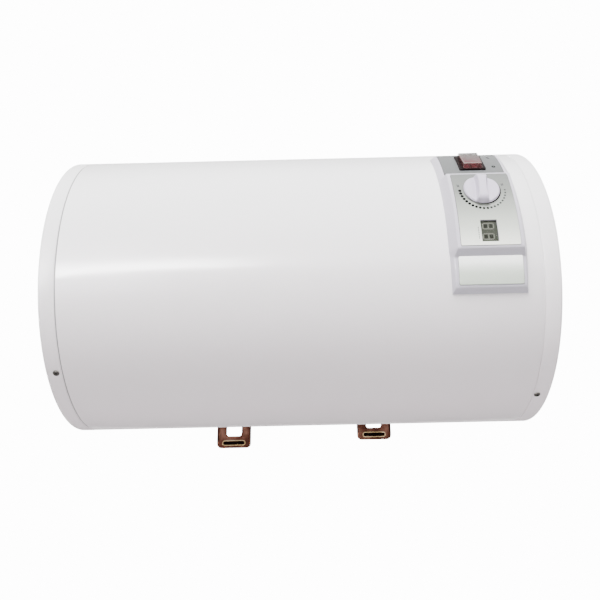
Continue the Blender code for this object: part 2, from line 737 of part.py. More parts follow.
def make_cutout(looks):
    size = (CUTOUT_X[1] - CUTOUT_X[0], 2 * CUTOUT_Y, 0.0320)
    centre = (sum(CUTOUT_X) / 2, AXIS_Y, -0.0090)
    cutout = block("thermal_cutout", size, centre, looks["phenolic"])
    holes = [(-ELEMENT_Y, ELEMENT_Z, ELEMENT_R + GAP), (ELEMENT_Y, ELEMENT_Z, ELEMENT_R + GAP)]
    holes += [(0, WELL_Z, 0.0052), (0, RESET_Z, 0.0025 + GAP)]
    for i, (y, z, radius) in enumerate(holes, 1):
        low = 0.180 if i < 4 else 0.2020
        cut(cutout, put_along_axis(drill(f"cutout_hole_{i}", radius, low, 0.220, 12), 0, y, z))
    button = [(0.2052, 0), (0.2052, 0.0025), (0.2104, 0.0025), (0.2110, 0.0019), (0.2110, 0)]
    reset = turned("reset_button", [(z - CUTOUT_X[1], r) for z, r in button], looks["red_plastic"], 16)
    put_along_axis(reset, CUTOUT_X[1], 0, RESET_Z)


# Wiring


def make_wiring(looks):
    block("terminal_block", (0.0180, 0.0440, 0.0200), (0.1770, AXIS_Y + 0.010, -0.1000), looks["phenolic"])
    gland = [(-0.0090, 0.0045), (-0.0090, 0.0078), (0.0004, 0.0078), (0.0004, 0.0120), (0.0050, 0.0120)]
    gland += [(0.0050, 0.0098), (0.0150, 0.0088), (0.0165, 0.0075), (0.0165, 0.0045)]
    put_along_axis(turned_ring("cable_gland", gland, looks["black_plastic"], 16), END_X, *GLAND_YZ)
    nut = [(0, 0.0081), (0, 0.0125), (0.0050, 0.0125), (0.0050, 0.0081)]
    put_along_axis(turned_ring("gland_nut", nut, looks["black_plastic"], 16), END_X - 0.0072, *GLAND_YZ)

    switch_back = on_drum(SWITCH_X, PANEL_LOW_R - 0.0325, SWITCH_ANGLE)
    stat_back = on_drum(KNOB_X + 0.008, PANEL_HIGH_R - 0.0300, KNOB_ANGLE)
    terminal = Vector((0.1884, AXIS_Y, -0.0960))
    live = [terminal, (0.206, AXIS_Y - 0.020, -0.080), (0.222, AXIS_Y - 0.075, -0.030),
        (0.218, AXIS_Y - 0.105, 0.040)]
    tube_along("switch_wire", smooth_route([*live, switch_back]), 0.0013, looks["wire"])
    load = [stat_back, (0.204, AXIS_Y - 0.120, 0.010), (0.216, AXIS_Y - 0.075, 0.006),
        (0.218, AXIS_Y - 0.045, -0.006)]
    load += [(0.2180, AXIS_Y - 0.018, -0.0100)]
    tube_along("load_wire", smooth_route(load), 0.0013, looks["wire"])
    capillary = [(0.1085, AXIS_Y, WELL_Z), (0.160, AXIS_Y, WELL_Z), (0.212, AXIS_Y, WELL_Z)]
    capillary += [(0.226, AXIS_Y - 0.010, -0.026), (0.222, AXIS_Y - 0.060, -0.034),
        (0.200, AXIS_Y - 0.110, -0.020)]
    capillary.append(on_drum(0.190, 0.1615, KNOB_ANGLE))
    tube_along("capillary_tube", smooth_route(capillary), 0.0008, looks["copper"])


GLAND_YZ = (0.060, -0.085)


# Wall brackets


def bracket_bolt_places():
    places = []
    for side, x in zip(("left", "right"), BRACKET_XS):
        for level, z in (("lower", -BOLT_Z), ("upper", BOLT_Z)):
            places.append((f"{side}_{level}_bracket_bolt", x, z))
    return places


def bolt_drill(name, x, z, radius, low, high, count=12):
    """A cylinder that runs into the back of the drum along -Y, between two distances behind its axis."""
    tool = drill(name, radius, low, high, count)
    tool.location = (x, AXIS_Y, z)
    tool.rotation_euler = (-pi / 2, 0, 0)
    return tool


def bracket_stations():
    """(height, wall-side y, half width, flange depth) up the strap: feet on the wall, middle set forward."""
    half, radius, flange = BRACKET_WIDTH / 2, 0.0045, 0.0058
    foot = [(FOOT_END, 0, half - radius, 0.0030), (FOOT_END - 0.0003, 0, half - 0.0028, 0.0030)]
    foot += [(FOOT_END - 0.0013, 0, half - 0.0013, 0.0032), (FOOT_END - 0.0045, 0, half, 0.0040)]
    foot += [(FOOT_END - 0.0080, 0, half, flange), (0.1060, 0, half, flange),
        (0.0960, BRACKET_SET, half, flange)]
    return [(-z, *rest) for z, *rest in foot] + foot[::-1]


def make_bracket(side, x, lift, looks):
    sections = []
    for z, y, half, flange in bracket_stations():
        inner = half - 0.0020
        corners = [(-half, 0), (half, 0), (half, flange), (inner, flange), (inner, BRACKET_PLATE)]
        corners += [(-inner, BRACKET_PLATE), (-inner, flange), (-half, flange)]
        sections.append([(x + dx, y - depth, z + lift) for dx, depth in corners])
    bracket = loft(f"{side}_wall_bracket", sections, looks["plated_steel"])
    for end in (-1, 1):
        lip = prism(f"{side}_lip_{end}", rounded_outline(0.0345, 0.0084, 0.0040), 0.0010, 0.0038, None)
        slot = prism(f"{side}_slot_{end}", rounded_outline(*SLOT_SIZE, 0.0022), SLOT_FLOOR, 0.02, None)
        window = prism(f"{side}_window_{end}", rounded_outline(*WINDOW_SIZE, 0.0036), -0.02, 0.02, None)
        for tool, z in ((lip, SLOT_Z), (slot, SLOT_Z), (window, WINDOW_Z)):
            tool.location = (x, 0, end * z + lift)
            tool.rotation_euler = (pi / 2, 0, 0)
        join(bracket, lip)
        cut(bracket, slot, window)
        level = "lower" if end < 0 else "upper"
        cut(bracket, block(f"{side}_{level}_bolt_slot", (0.0094, 0.04, 0.0180), (x, 0, end * BOLT_Z + lift),
            None))


def make_saddles_and_bolts(looks):
    front, back = BRACKET_SET - BRACKET_PLATE - GAP, -0.0260
    for side, x in zip(("left", "right"), BRACKET_XS):
        pad = block(f"{side}_saddle_pad", (0.0400, front - back, 0.1160), (x, (front + back) / 2, 0),
            looks["rubber"])
        cut(pad, put_along_axis(drill(f"{side}_saddle_hollow", SHELL_R + 0.0004, x - 0.03, x + 0.03, 72)))
        for z in (-BOLT_Z, BOLT_Z):
            cut(pad, bolt_drill(f"{side}_pad_hole_{z:.2f}", x, z, 0.0046, 0.140, 0.180))
    seat = BRACKET_SET - AXIS_Y + GAP
    for name, x, z in bracket_bolt_places():
        stations = [(0.1460, 0.0034, 0), (0.1472, 0.0040, 0), (seat, 0.0040, 0), (seat, 0.0095, 0),
            (seat + 0.0014, 0.0095, 0)]
        stations += [(seat + 0.0014, 0.0072, 6), (seat + 0.0062, 0.0072, 6), (seat + 0.0068, 0.0062, 6)]
        bolt = fastener(name, stations, looks["bare_steel"])
        bolt.location = (x, AXIS_Y, z)
        bolt.rotation_euler = (-pi / 2, 0, 0)


def main():
    clear_scene()
    looks = make_materials()
    make_outer_shell(looks)
    for side in CAP_SCREWS:
        cap = make_end_cap(side, looks)
        if side == "right":
            cut(cap, put_along_axis(drill("gland_hole", 0.0082, 0.260, 0.290, 16), 0, *GLAND_YZ))
    make_cap_screws(looks)
    make_panel_housing(looks)
    make_films(looks)
    make_panel_screws(looks)
    make_switch(looks)
    make_knob(looks)
    make_thermostat(looks)
    make_display(looks)
    make_inner_tank(looks)
    make_foam(looks)
    make_pipes(looks)
    make_flange(looks)
    make_heating_element(looks)
    make_anode_and_well(looks)
    make_cutout(looks)
    make_wiring(looks)
    for side, x, lift in zip(("left", "right"), BRACKET_XS, BRACKET_LIFTS):
        make_bracket(side, x, lift, looks)
    make_saddles_and_bolts(looks)


main()
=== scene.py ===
"""Looks for the wall-hung water heater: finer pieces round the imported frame, materials, light and camera."""

import json

from math import cos, hypot, pi, radians, sin, sqrt

import bmesh
import bpy
from mathutils import Matrix, Vector


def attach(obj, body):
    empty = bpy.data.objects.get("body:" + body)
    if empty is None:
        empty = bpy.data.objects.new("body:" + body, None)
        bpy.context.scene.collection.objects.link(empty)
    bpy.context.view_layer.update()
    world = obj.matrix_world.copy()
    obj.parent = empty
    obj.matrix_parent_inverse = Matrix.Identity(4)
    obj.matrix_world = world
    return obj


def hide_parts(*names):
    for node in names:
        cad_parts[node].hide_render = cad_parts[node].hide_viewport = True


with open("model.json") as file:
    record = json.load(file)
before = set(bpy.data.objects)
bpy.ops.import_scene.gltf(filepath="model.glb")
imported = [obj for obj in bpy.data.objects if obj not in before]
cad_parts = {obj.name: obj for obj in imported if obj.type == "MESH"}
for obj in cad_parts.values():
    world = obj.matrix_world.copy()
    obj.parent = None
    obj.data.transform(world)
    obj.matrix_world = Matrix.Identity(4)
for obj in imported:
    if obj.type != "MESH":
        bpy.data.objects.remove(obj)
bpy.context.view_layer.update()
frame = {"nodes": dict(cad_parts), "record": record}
nodes = frame["nodes"]

# Dimensions shared with the CAD part, in metres
SHELL_R = 0.170
AXIS_Y = -0.188
SEAM_X = 0.2575
END_X = 0.2763
GAP = 0.0003
FILM = 0.0004
INK = (0.00002, 0.00008)  # the print's lower and upper face above its film
PANEL_X = 0.1998
HIGH_R = 0.1842
LOW_R = 0.176
KNOB_X, KNOB_ANGLE = 0.1981, radians(9.5)
RING_X = 0.1993  # the printed dots stand a little off the knob's centre
KNOB_R = 0.0191
KNOB_SHOULDER = 0.0120
KNOB_REST = radians(-5)
DISPLAY_X, DISPLAY_ANGLE = 0.1997, radians(-6.2)
DISPLAY_SIZE = (0.0170, 0.0240)
SWITCH_X, SWITCH_ANGLE = 0.1988, radians(29.3)
SWITCH_SIZE = (0.0228, 0.0288)  # the panel's opening for the switch
ROCKER_PIVOT = -0.003
ROCKER_TILT = radians(8)
BRACKETS = (("left", -0.1015, -0.0046), ("right", 0.1015, 0.0035))
BRACKET_WIDTH = 0.0492
PLATE = 0.0025
BRACKET_SET = -0.0110
FOOT_END = 0.1548
SLOT_Z, WINDOW_Z, BOLT_Z = 0.1478, 0.1263, 0.040
CAP_SCREWS = (("left", -0.2642, (-53.7, 66.3, 186.3)), ("right", 0.2616, (-69.8, 63.0, 178.0)))
PIPES = (("cold_inlet_pipe", -0.050, -0.130), ("hot_outlet_pipe", 0.050, 0.130))

# Each film's span along the drum, and around it in degrees
FASCIA = (0.1688, 0.2308), (-11.2, 17.7)
STRIP = (0.1655, 0.2330), (21.2, 37.7)
NAME_PLATE = (0.1667, 0.2337), (-23.9, -14.2)

# Bracket openings: width, height and corner radius
WINDOW = (0.0214, 0.0232, 0.0036)
SLOT = (0.0300, 0.0046, 0.0022)
LIP = (0.0345, 0.0084, 0.0040)
RIM = (0.0323, 0.0066, 0.0032)
BOLT_HOLE = (0.0094, 0.0180, 0.0046)


# Procedural materials


def new_material(name, colour, roughness, metallic=0.0, coat=0.0, alpha=1.0, specular=0.5):
    made = bpy.data.materials.new(name)
    made.use_nodes = True
    shader = made.node_tree.nodes["Principled BSDF"]
    shader.inputs["Base Color"].default_value = (*colour, 1.0)
    shader.inputs["Roughness"].default_value = roughness
    shader.inputs["Metallic"].default_value = metallic
    shader.inputs["Coat Weight"].default_value = coat
    shader.inputs["Coat Roughness"].default_value = 0.06
    shader.inputs["Alpha"].default_value = alpha
    shader.inputs["Specular IOR Level"].default_value = specular
    made.diffuse_color = (*colour, alpha)
    return made


def shader_of(made):
    return made.node_tree.nodes["Principled BSDF"]


def add_node(made, kind, **settings):
    node = made.node_tree.nodes.new(kind)
    for key, value in settings.items():
        if key in node.inputs:
            node.inputs[key].default_value = value
        else:
            setattr(node, key, value)
    return node


def link(made, out, into):
    made.node_tree.links.new(out, into)


def feed(made, socket, out):
    """Links a value into one of the shader's own sockets."""
    link(made, out, shader_of(made).inputs[socket])


def position(made, stretch=(1, 1, 1)):
    """Object coordinates, in metres, scaled along each axis."""
    place = add_node(made, "ShaderNodeTexCoord")
    mapping = add_node(made, "ShaderNodeMapping", Scale=stretch)
    link(made, place.outputs["Object"], mapping.inputs["Vector"])
    return mapping.outputs["Vector"]


def noise(made, vector, scale, detail=3.0, roughness=0.5):
    node = add_node(made, "ShaderNodeTexNoise", Scale=scale, Detail=detail, Roughness=roughness)
    link(made, vector, node.inputs["Vector"])
    return node.outputs["Fac"]


def height_of(made, vector):
    split = add_node(made, "ShaderNodeSeparateXYZ")
    link(made, vector, split.inputs["Vector"])
    return split.outputs["Z"]


def ramp(made, fac, stops):
    node = add_node(made, "ShaderNodeValToRGB")
    band = node.color_ramp
    while len(band.elements) < len(stops):
        band.elements.new(0.5)
    for element, (place, colour) in zip(band.elements, stops):
        element.position = place
        element.color = (*colour, 1.0)
    link(made, fac, node.inputs["Fac"])
    return node.outputs["Color"]


def to_range(made, value, low, high, out_low, out_high, shape="LINEAR"):
    node = add_node(made, "ShaderNodeMapRange", interpolation_type=shape)
    for key, number in (("From Min", low), ("From Max", high), ("To Min", out_low), ("To Max", out_high)):
        node.inputs[key].default_value = number
    link(made, value, node.inputs["Value"])
    return node.outputs["Result"]


def bump(made, height, strength, distance):
    node = add_node(made, "ShaderNodeBump", Strength=strength, Distance=distance)
    link(made, height, node.inputs["Height"])
    feed(made, "Normal", node.outputs["Normal"])


def enamel_paint(name, coat, gloss):
    """White stove enamel with a very faint orange peel, its colour painted darker and pinker towards the
    bottom as painted shade.
    """
    made = new_material(name, (0.795, 0.785, 0.800), 0.42, coat=coat)
    shader_of(made).inputs["Coat Roughness"].default_value = gloss
    place = position(made)
    # painted shade: the enamel's colour darkens and turns pinker from the top down to the bottom
    height = to_range(made, height_of(made, place), -SHELL_R, SHELL_R, 0.0, 1.0)
    stops = ((0.0, (0.790, 0.700, 0.735)), (0.30, (0.795, 0.755, 0.772)), (0.60, (0.795, 0.785, 0.795)))
    feed(made, "Base Color", ramp(made, height, stops))
    bump(made, noise(made, place, 260.0, 2.0), 0.015, 0.0006)
    return made


def moulded_plastic(name, colour, roughness=0.34, specular=0.15, alpha=1.0, grain=900.0, depth=0.05):
    made = new_material(name, colour, roughness, alpha=alpha, specular=specular)
    place = position(made)
    smear = noise(made, place, 35.0)
    feed(made, "Roughness", to_range(made, smear, 0.3, 0.7, roughness - 0.04, roughness + 0.05))
    bump(made, noise(made, place, grain, 2.0), depth, 0.0002)
    return made


def silver_film(name, stops, roughness, specular, metallic=0.0):
    """Printed silver film: its tone drifts with height, over a very fine grain; on the name plate that drift
    is partly a painted reflection of the bright room.
    """
    made = new_material(name, stops[0][1], roughness, metallic, specular=specular)
    place = position(made)
    tone = ramp(made, to_range(made, height_of(made, place), FILM_LOW, FILM_HIGH, 0.0, 1.0), stops)
    fine = noise(made, place, 1400.0, 4.0, 0.7)
    grainy = ramp(made, fine, [(0.30, (0.86, 0.86, 0.86)), (0.70, (1.0, 1.0, 1.0))])
    mix = add_node(made, "ShaderNodeMix", data_type="RGBA", blend_type="MULTIPLY")
    mix.inputs["Factor"].default_value = 1.0
    link(made, tone, mix.inputs["A"])
    link(made, grainy, mix.inputs["B"])
    feed(made, "Base Color", mix.outputs["Result"])
    bump(made, fine, 0.04, 0.0001)
    return made


def plated_steel(name, dark, mid, light, roughness=0.34):
    """Yellow-brown chromated zinc, mottled like the real plating."""
    made = new_material(name, mid, roughness, 0.82)
    place = position(made, (1.3, 1.0, 0.8))
    mottle = noise(made, place, 48.0, 3.0, 0.5)
    tone = ramp(made, mottle, [(0.32, dark), (0.5, mid), (0.68, light)])
    feed(made, "Base Color", tone)
    feed(made, "Roughness", to_range(made, mottle, 0.3, 0.7, roughness - 0.08, roughness + 0.12))
    bump(made, noise(made, place, 420.0, 3.0), 0.07, 0.0002)
    return made


def silicone_crown():
    """The boot's top: pinkish over the rocker, grey-green and paler towards its far edge."""
    made = new_material("boot_crown", (0.13, 0.10, 0.10), 0.22, alpha=0.94, specular=0.11)
    place = position(made)
    blotch = to_range(made, noise(made, place, 210.0, 3.0), 0.35, 0.65, -0.0030, 0.0030)
    height = add_node(made, "ShaderNodeMath", operation="ADD")
    link(made, height_of(made, place), height.inputs[0])
    link(made, blotch, height.inputs[1])
    near_edge, far_edge = 0.0780, 0.1010
    drift = to_range(made, height.outputs["Value"], near_edge, far_edge, 0.0, 1.0)
    pink, brown = (0.084, 0.020, 0.022), (0.070, 0.038, 0.038)
    grey, pale = (0.072, 0.060, 0.056), (0.155, 0.160, 0.145)
    stops = ((0.0, pink), (0.38, brown), (0.72, grey), (1.0, pale))
    feed(made, "Base Color", ramp(made, drift, stops))
    bump(made, noise(made, place, 300.0, 2.0), 0.08, 0.0003)
    return made


def metal(name, colour, roughness, scale=300.0, depth=0.06):
    made = new_material(name, colour, roughness, 1.0)
    place = position(made)
    grain = noise(made, place, scale, 4.0, 0.6)
    feed(made, "Roughness", to_range(made, grain, 0.3, 0.7, roughness - 0.07, roughness + 0.1))
    bump(made, grain, depth, 0.0002)
    return made


def rough_solid(name, stops, roughness, scale, depth, distance, specular=0.5):
    made = new_material(name, stops[0][1], roughness, specular=specular)
    place = position(made)
    grain = noise(made, place, scale, 5.0, 0.6)
    feed(made, "Base Color", ramp(made, grain, stops))
    bump(made, grain, depth, distance)
    return made


# Film tones by height, from the panel's lower edge to its upper one
FILM_LOW, FILM_HIGH = -0.075, 0.115
FASCIA_TONES = (
    (0.21, (0.93, 0.94, 0.86)),
    (0.31, (0.57, 0.60, 0.54)),
    (0.42, (0.36, 0.38, 0.345)),
    (0.55, (0.205, 0.215, 0.20)),
    (0.68, (0.150, 0.156, 0.150)),
)
# the name plate's silvery green-white, painted brighter towards its top: a painted reflection of the bright
# room above the horizon
PLATE_REFLECTION_TONES = (
    (0.02, (0.60, 0.66, 0.57)),
    (0.08, (0.68, 0.74, 0.65)),
    (0.13, (0.88, 0.90, 0.86)),
    (0.17, (0.95, 0.95, 0.92)),
)

STRIP_TONES = ((0.0, (0.106, 0.110, 0.110)), (1.0, (0.112, 0.116, 0.116)))

# Two-tone solids: where each tone of the grain sits, and its colour
FACE_TONES = ((0.3, (0.050, 0.055, 0.044)), (0.7, (0.070, 0.075, 0.061)))
ENAMEL_TONES = ((0.4, (0.02, 0.045, 0.13)), (0.6, (0.035, 0.07, 0.18)))
FOAM_TONES = ((0.35, (0.70, 0.56, 0.28)), (0.65, (0.86, 0.74, 0.46)))
RUBBER_TONES = ((0.3, (0.018, 0.018, 0.018)), (0.7, (0.032, 0.032, 0.032)))
PHENOLIC_TONES = ((0.3, (0.035, 0.026, 0.02)), (0.7, (0.06, 0.045, 0.036)))
BOARD_TONES = ((0.45, (0.01, 0.14, 0.05)), (0.55, (0.02, 0.22, 0.09)))
WIRE_TONES = ((0.3, (0.20, 0.08, 0.03)), (0.7, (0.28, 0.12, 0.045)))

# Plating: dark, middle and light
PLATED = (0.072, 0.023, 0.013), (0.138, 0.051, 0.031), (0.300, 0.145, 0.100)
# a darker copy of the plating: painted shade for the brackets' flanges and window walls
SHADED_PLATING = (0.028, 0.010, 0.006), (0.060, 0.024, 0.015), (0.120, 0.056, 0.036)
# a lighter copy of the plating: a painted highlight for the beads round the slots
LIT_PLATING = (0.42, 0.29, 0.13), (0.58, 0.45, 0.23), (0.80, 0.69, 0.44)

looks = {
    "white_paint": enamel_paint("white_enamel", 0.55, 0.12),
    "cap_paint": enamel_paint("cap_enamel", 0.32, 0.32),
    "white_plastic": moulded_plastic("lilac_white_plastic", (0.455, 0.430, 0.490), 0.34, 0.4),
    "knob_plastic": moulded_plastic("knob_plastic", (0.465, 0.425, 0.515), 0.3, 0.4),
    "strip_film": silver_film("strip_film", STRIP_TONES, 0.5, 0.10),
    "dial_film": silver_film("dial_film", FASCIA_TONES, 0.42, 0.12),
    "plate_film": silver_film("plate_film", PLATE_REFLECTION_TONES, 0.24, 0.12, 0.34),
    "black_plastic": moulded_plastic("black_plastic", (0.0065, 0.0042, 0.0042), 0.45, 0.02),
    "red_lens": moulded_plastic("red_rocker", (0.60, 0.075, 0.085), 0.35, 0.03),
    "rocker_dark": moulded_plastic("rocker_dark", (0.085, 0.018, 0.012), 0.4, 0.02),
    "clear_boot": moulded_plastic("clear_boot", (0.13, 0.050, 0.052), 0.2, 0.06, 0.26, 300.0, 0.005),
    "boot_painted_shade": moulded_plastic("boot_painted_shade", (0.035, 0.014, 0.014), 0.25, 0.06, 0.62, 300.0, 0.02),
    "boot_crown": silicone_crown(),
    "boot_painted_highlight": moulded_plastic("boot_painted_highlight", (0.185, 0.130, 0.122), 0.25, 0.12, 0.85, 300.0, 0.02),
    "smoked_lens": moulded_plastic("smoked_lens", (0.03, 0.033, 0.026), 0.2, 0.05, 0.10, 500.0, 0.02),
    "display_face": rough_solid("display_face", FACE_TONES, 0.5, 300.0, 0.02, 0.0001, 0.03),
    "segment": moulded_plastic("unlit_segment", (0.19, 0.195, 0.165), 0.5, 0.02),
    "digit_core": moulded_plastic("digit_core", (0.022, 0.024, 0.019), 0.5, 0.01),
    "plated_steel": plated_steel("plated_steel", *PLATED),
    "plated_painted_shade": plated_steel("plated_painted_shade", *SHADED_PLATING),
    "gold_rim": plated_steel("gold_rim", *LIT_PLATING, 0.28),
    "pocket_black": moulded_plastic("pocket_black", (0.006, 0.004, 0.003), 0.8, 0.02),
    "bare_steel": metal("bright_zinc", (0.60, 0.61, 0.62), 0.32),
    "dark_steel": metal("black_oxide", (0.085, 0.080, 0.074), 0.36),
    "screw_dark": moulded_plastic("screw_recess_painted_shade", (0.008, 0.008, 0.008), 0.6),
    "enamel": rough_solid("tank_enamel", ENAMEL_TONES, 0.22, 90.0, 0.05, 0.0005),
    "foam": rough_solid("rigid_foam", FOAM_TONES, 0.9, 420.0, 0.5, 0.001),
    "rubber": rough_solid("black_rubber", RUBBER_TONES, 0.78, 500.0, 0.2, 0.0003),
    "copper": metal("copper_tube", (0.78, 0.40, 0.25), 0.3),
    "magnesium": metal("cast_magnesium", (0.58, 0.58, 0.56), 0.55, 160.0, depth=0.3),
    "phenolic": rough_solid("phenolic", PHENOLIC_TONES, 0.45, 200.0, 0.1, 0.0003),
    "blue_plastic": moulded_plastic("blue_plastic", (0.02, 0.13, 0.55), 0.38),
    "red_plastic": moulded_plastic("red_plastic", (0.60, 0.02, 0.02), 0.38),
    "circuit_board": rough_solid("circuit_board", BOARD_TONES, 0.4, 260.0, 0.1, 0.0002),
    "wire": rough_solid("brown_wire", WIRE_TONES, 0.45, 300.0, 0.1, 0.0002),
    "washer_dark": moulded_plastic("washer_dark", (0.012, 0.008, 0.011), 0.6, 0.01),
    "seam_grey": moulded_plastic("seam_grey", (0.24, 0.23, 0.235), 0.7, 0.02),
    "gap_shadow": moulded_plastic("gap_shadow", (0.11, 0.10, 0.105), 0.6, 0.02),
    "print_dark": moulded_plastic("print_dark", (0.004, 0.004, 0.004), 0.6, 0.01),
    "print_grey": moulded_plastic("print_grey", (0.036, 0.038, 0.037), 0.6, 0.02),
}

record_slot = {entry["node"]: entry["material_slot"] for entry in frame["record"]["subparts"]}
slot_look = {"silver_film": "dial_film"}
for name, node in nodes.items():
    wanted = record_slot[name]
    node.data.materials.clear()
    node.data.materials.append(looks[slot_look.get(wanted, wanted)])


# Mesh helpers


def on_drum(x, radius, angle):
    return Vector((x, AXIS_Y - radius * cos(angle), radius * sin(angle)))


def drum_matrix(x, radius, angle):
    """A frame standing on the drum: local Z outward, local X along the drum, local Y up."""
    return Matrix.Translation(on_drum(x, radius, angle)) @ Matrix.Rotation(pi / 2 - angle, 4, "X")


def axis_matrix(x=0.0, y=0.0, z=0.0):
    """A frame whose local Z runs along the drum."""
    return Matrix.Translation((x, AXIS_Y + y, z)) @ Matrix.Rotation(pi / 2, 4, "Y")


def add_object(name, data):
    made = bpy.data.objects.new(name, data)
    bpy.context.scene.collection.objects.link(made)
    return made


def paint(obj, *names):
    """Gives a mesh these looks, in this order."""
    obj.data.materials.clear()
    for name in names:
        obj.data.materials.append(looks[name])
    return obj


def mesh_object(name, points, faces, *materials):
    mesh = bpy.data.meshes.new(name)
    mesh.from_pydata([tuple(p) for p in points], [], faces)
    checked = bmesh.new()
    checked.from_mesh(mesh)
    bmesh.ops.remove_doubles(checked, verts=checked.verts, dist=1e-7)
    bmesh.ops.recalc_face_normals(checked, faces=checked.faces)
    checked.to_mesh(mesh)
    checked.free()
    return paint(add_object(name, mesh), *materials)


def smooth(obj, degrees=30):
    obj.data.shade_smooth()
    obj.data.set_sharp_from_angle(angle=radians(degrees))
    return obj


def apply_modifiers(obj):
    graph = bpy.context.evaluated_depsgraph_get()
    graph.update()
    fresh = bpy.data.meshes.new_from_object(obj.evaluated_get(graph))
    obj.modifiers.clear()
    obj.data = fresh
    return obj


def skin(name, rings, *materials, closed=False, matrix=None):
    """Skins rings of equal length; a one-point ring is a pole."""
    points, starts = [], []
    for ring_points in rings:
        starts.append(len(points))
        points.extend(ring_points)
    pairs = list(zip(range(len(rings)), range(1, len(rings))))
    if closed:
        pairs.append((len(rings) - 1, 0))
    faces = []
    for low, high in pairs:
        a, b, na, nb = starts[low], starts[high], len(rings[low]), len(rings[high])
        for i in range(max(na, nb)):
            j = (i + 1) % max(na, nb)
            faces.append(list(dict.fromkeys([a + i % na, a + j % na, b + j % nb, b + i % nb])))
    if not closed:
        if len(rings[0]) > 1:
            faces.append(list(reversed(range(starts[0], starts[0] + len(rings[0])))))
        if len(rings[-1]) > 1:
            faces.append(list(range(starts[-1], starts[-1] + len(rings[-1]))))
    if matrix is not None:
        points = [matrix @ Vector(p) for p in points]
    return mesh_object(name, points, faces, *materials)


def circle(radius, z, count):
    return [(radius * cos(2 * pi * i / count), radius * sin(2 * pi * i / count), z) for i in range(count)]


def lathe(name, profile, *materials, count=128, closed=False, matrix=None):
    """A turned piece from (z, radius) pairs."""
    rings = [circle(r, z, count) if r > 0 else [(0, 0, z)] for z, r in profile]
    return smooth(skin(name, rings, *materials, closed=closed, matrix=matrix))


def curve(start, corner, end, t):
    """A point on the soft turn from start to end round a corner."""
    return (1 - t) ** 2 * start + 2 * t * (1 - t) * corner + t**2 * end


def rounded(points, radius, steps=4):
    """Rounds the inner corners of an open path of (a, b) pairs."""
    path = [points[0]]
    for before, corner, after in zip(points, points[1:], points[2:]):
        before, corner, after = Vector(before), Vector(corner), Vector(after)
        into, out = (before - corner), (after - corner)
        reach = min(radius, into.length * 0.45, out.length * 0.45)
        start, end = corner + into.normalized() * reach, corner + out.normalized() * reach
        for i in range(steps + 1):
            path.append(tuple(curve(start, corner, end, i / steps)))
    path.append(points[-1])
    return path


def rounded_rect(width, height, radius, steps=6):
    points = []
    for quarter, (sx, sy) in enumerate(((1, 1), (-1, 1), (-1, -1), (1, -1))):
        cx, cy = sx * (width / 2 - radius), sy * (height / 2 - radius)
        for i in range(steps + 1):
            angle = quarter * pi / 2 + i * pi / 2 / steps
            points.append((cx + radius * cos(angle), cy + radius * sin(angle)))
    return points


def prism(name, outline, levels, *materials, matrix=None, inset=0.0):
    """An upright prism whose top edge is eased by inset."""
    cx = sum(p[0] for p in outline) / len(outline)
    cy = sum(p[1] for p in outline) / len(outline)
    low, high = levels
    rings = [[(x, y, low) for x, y in outline]]
    if inset:
        rings.append([(x, y, high - inset) for x, y in outline])
        for share in (0.3, 1.0):
            pull = inset * (1 - sqrt(1 - share**2))
            rise = high - inset * (1 - sqrt(1 - (1 - share) ** 2))
            ring_points = []
            for x, y in outline:
                d = hypot(x - cx, y - cy)
                ring_points.append((x - (x - cx) / d * pull, y - (y - cy) / d * pull, rise))
            rings.append(ring_points)
    else:
        rings.append([(x, y, high) for x, y in outline])
    return skin(name, rings, *materials, matrix=matrix)


def boolean(target, tool, operation="DIFFERENCE"):
    change = target.modifiers.new("cut", "BOOLEAN")
    change.operation = operation
    change.solver = "EXACT"
    change.object = tool
    apply_modifiers(target)
    bpy.data.objects.remove(tool, do_unlink=True)
    return target


def place(obj, body, slot_name, *replaced):
    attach(obj, body)
    if replaced:
        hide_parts(*replaced)
    return obj


# Shell and end caps


def shell():
    """The rolled sheet: each end steps down into a tongue that the end cap slides over."""
    joggle, inside = SHELL_R - 0.002, SHELL_R - 0.001
    edge = 0.0006
    tongue, step, under = END_X - 0.0065, SEAM_X - 0.001, joggle - 0.001
    lip = SEAM_X - 0.0004
    side = [(tongue, joggle), (SEAM_X + 0.0004, joggle), (lip, joggle), (lip, SHELL_R - edge)]
    side += [(lip - edge * 0.3, SHELL_R - edge * 0.3), (lip - edge, SHELL_R)]
    profile = [(-z, r) for z, r in side]
    profile += [(-0.128, SHELL_R), (0.0, SHELL_R), (0.128, SHELL_R)]
    profile += side[::-1]
    hollow = [(tongue, under), (step, under), (step, inside)]
    profile += hollow + [(-z, r) for z, r in reversed(hollow)]
    made = lathe("shell_skin", profile, "white_paint", count=192, closed=True, matrix=axis_matrix())
    # the opening behind the panel
    corners = ((0.177, 0.160), (0.177, 0.175), (0.224, 0.175), (0.224, 0.160))
    first, last = radians(-11), radians(37)
    rings = []
    for i in range(17):
        angle = first + (last - first) * i / 16
        rings.append([on_drum(x, r, angle) for x, r in corners])
    boolean(made, skin("window", rings))
    return place(smooth(made), "heater", "white_paint", "outer_shell")


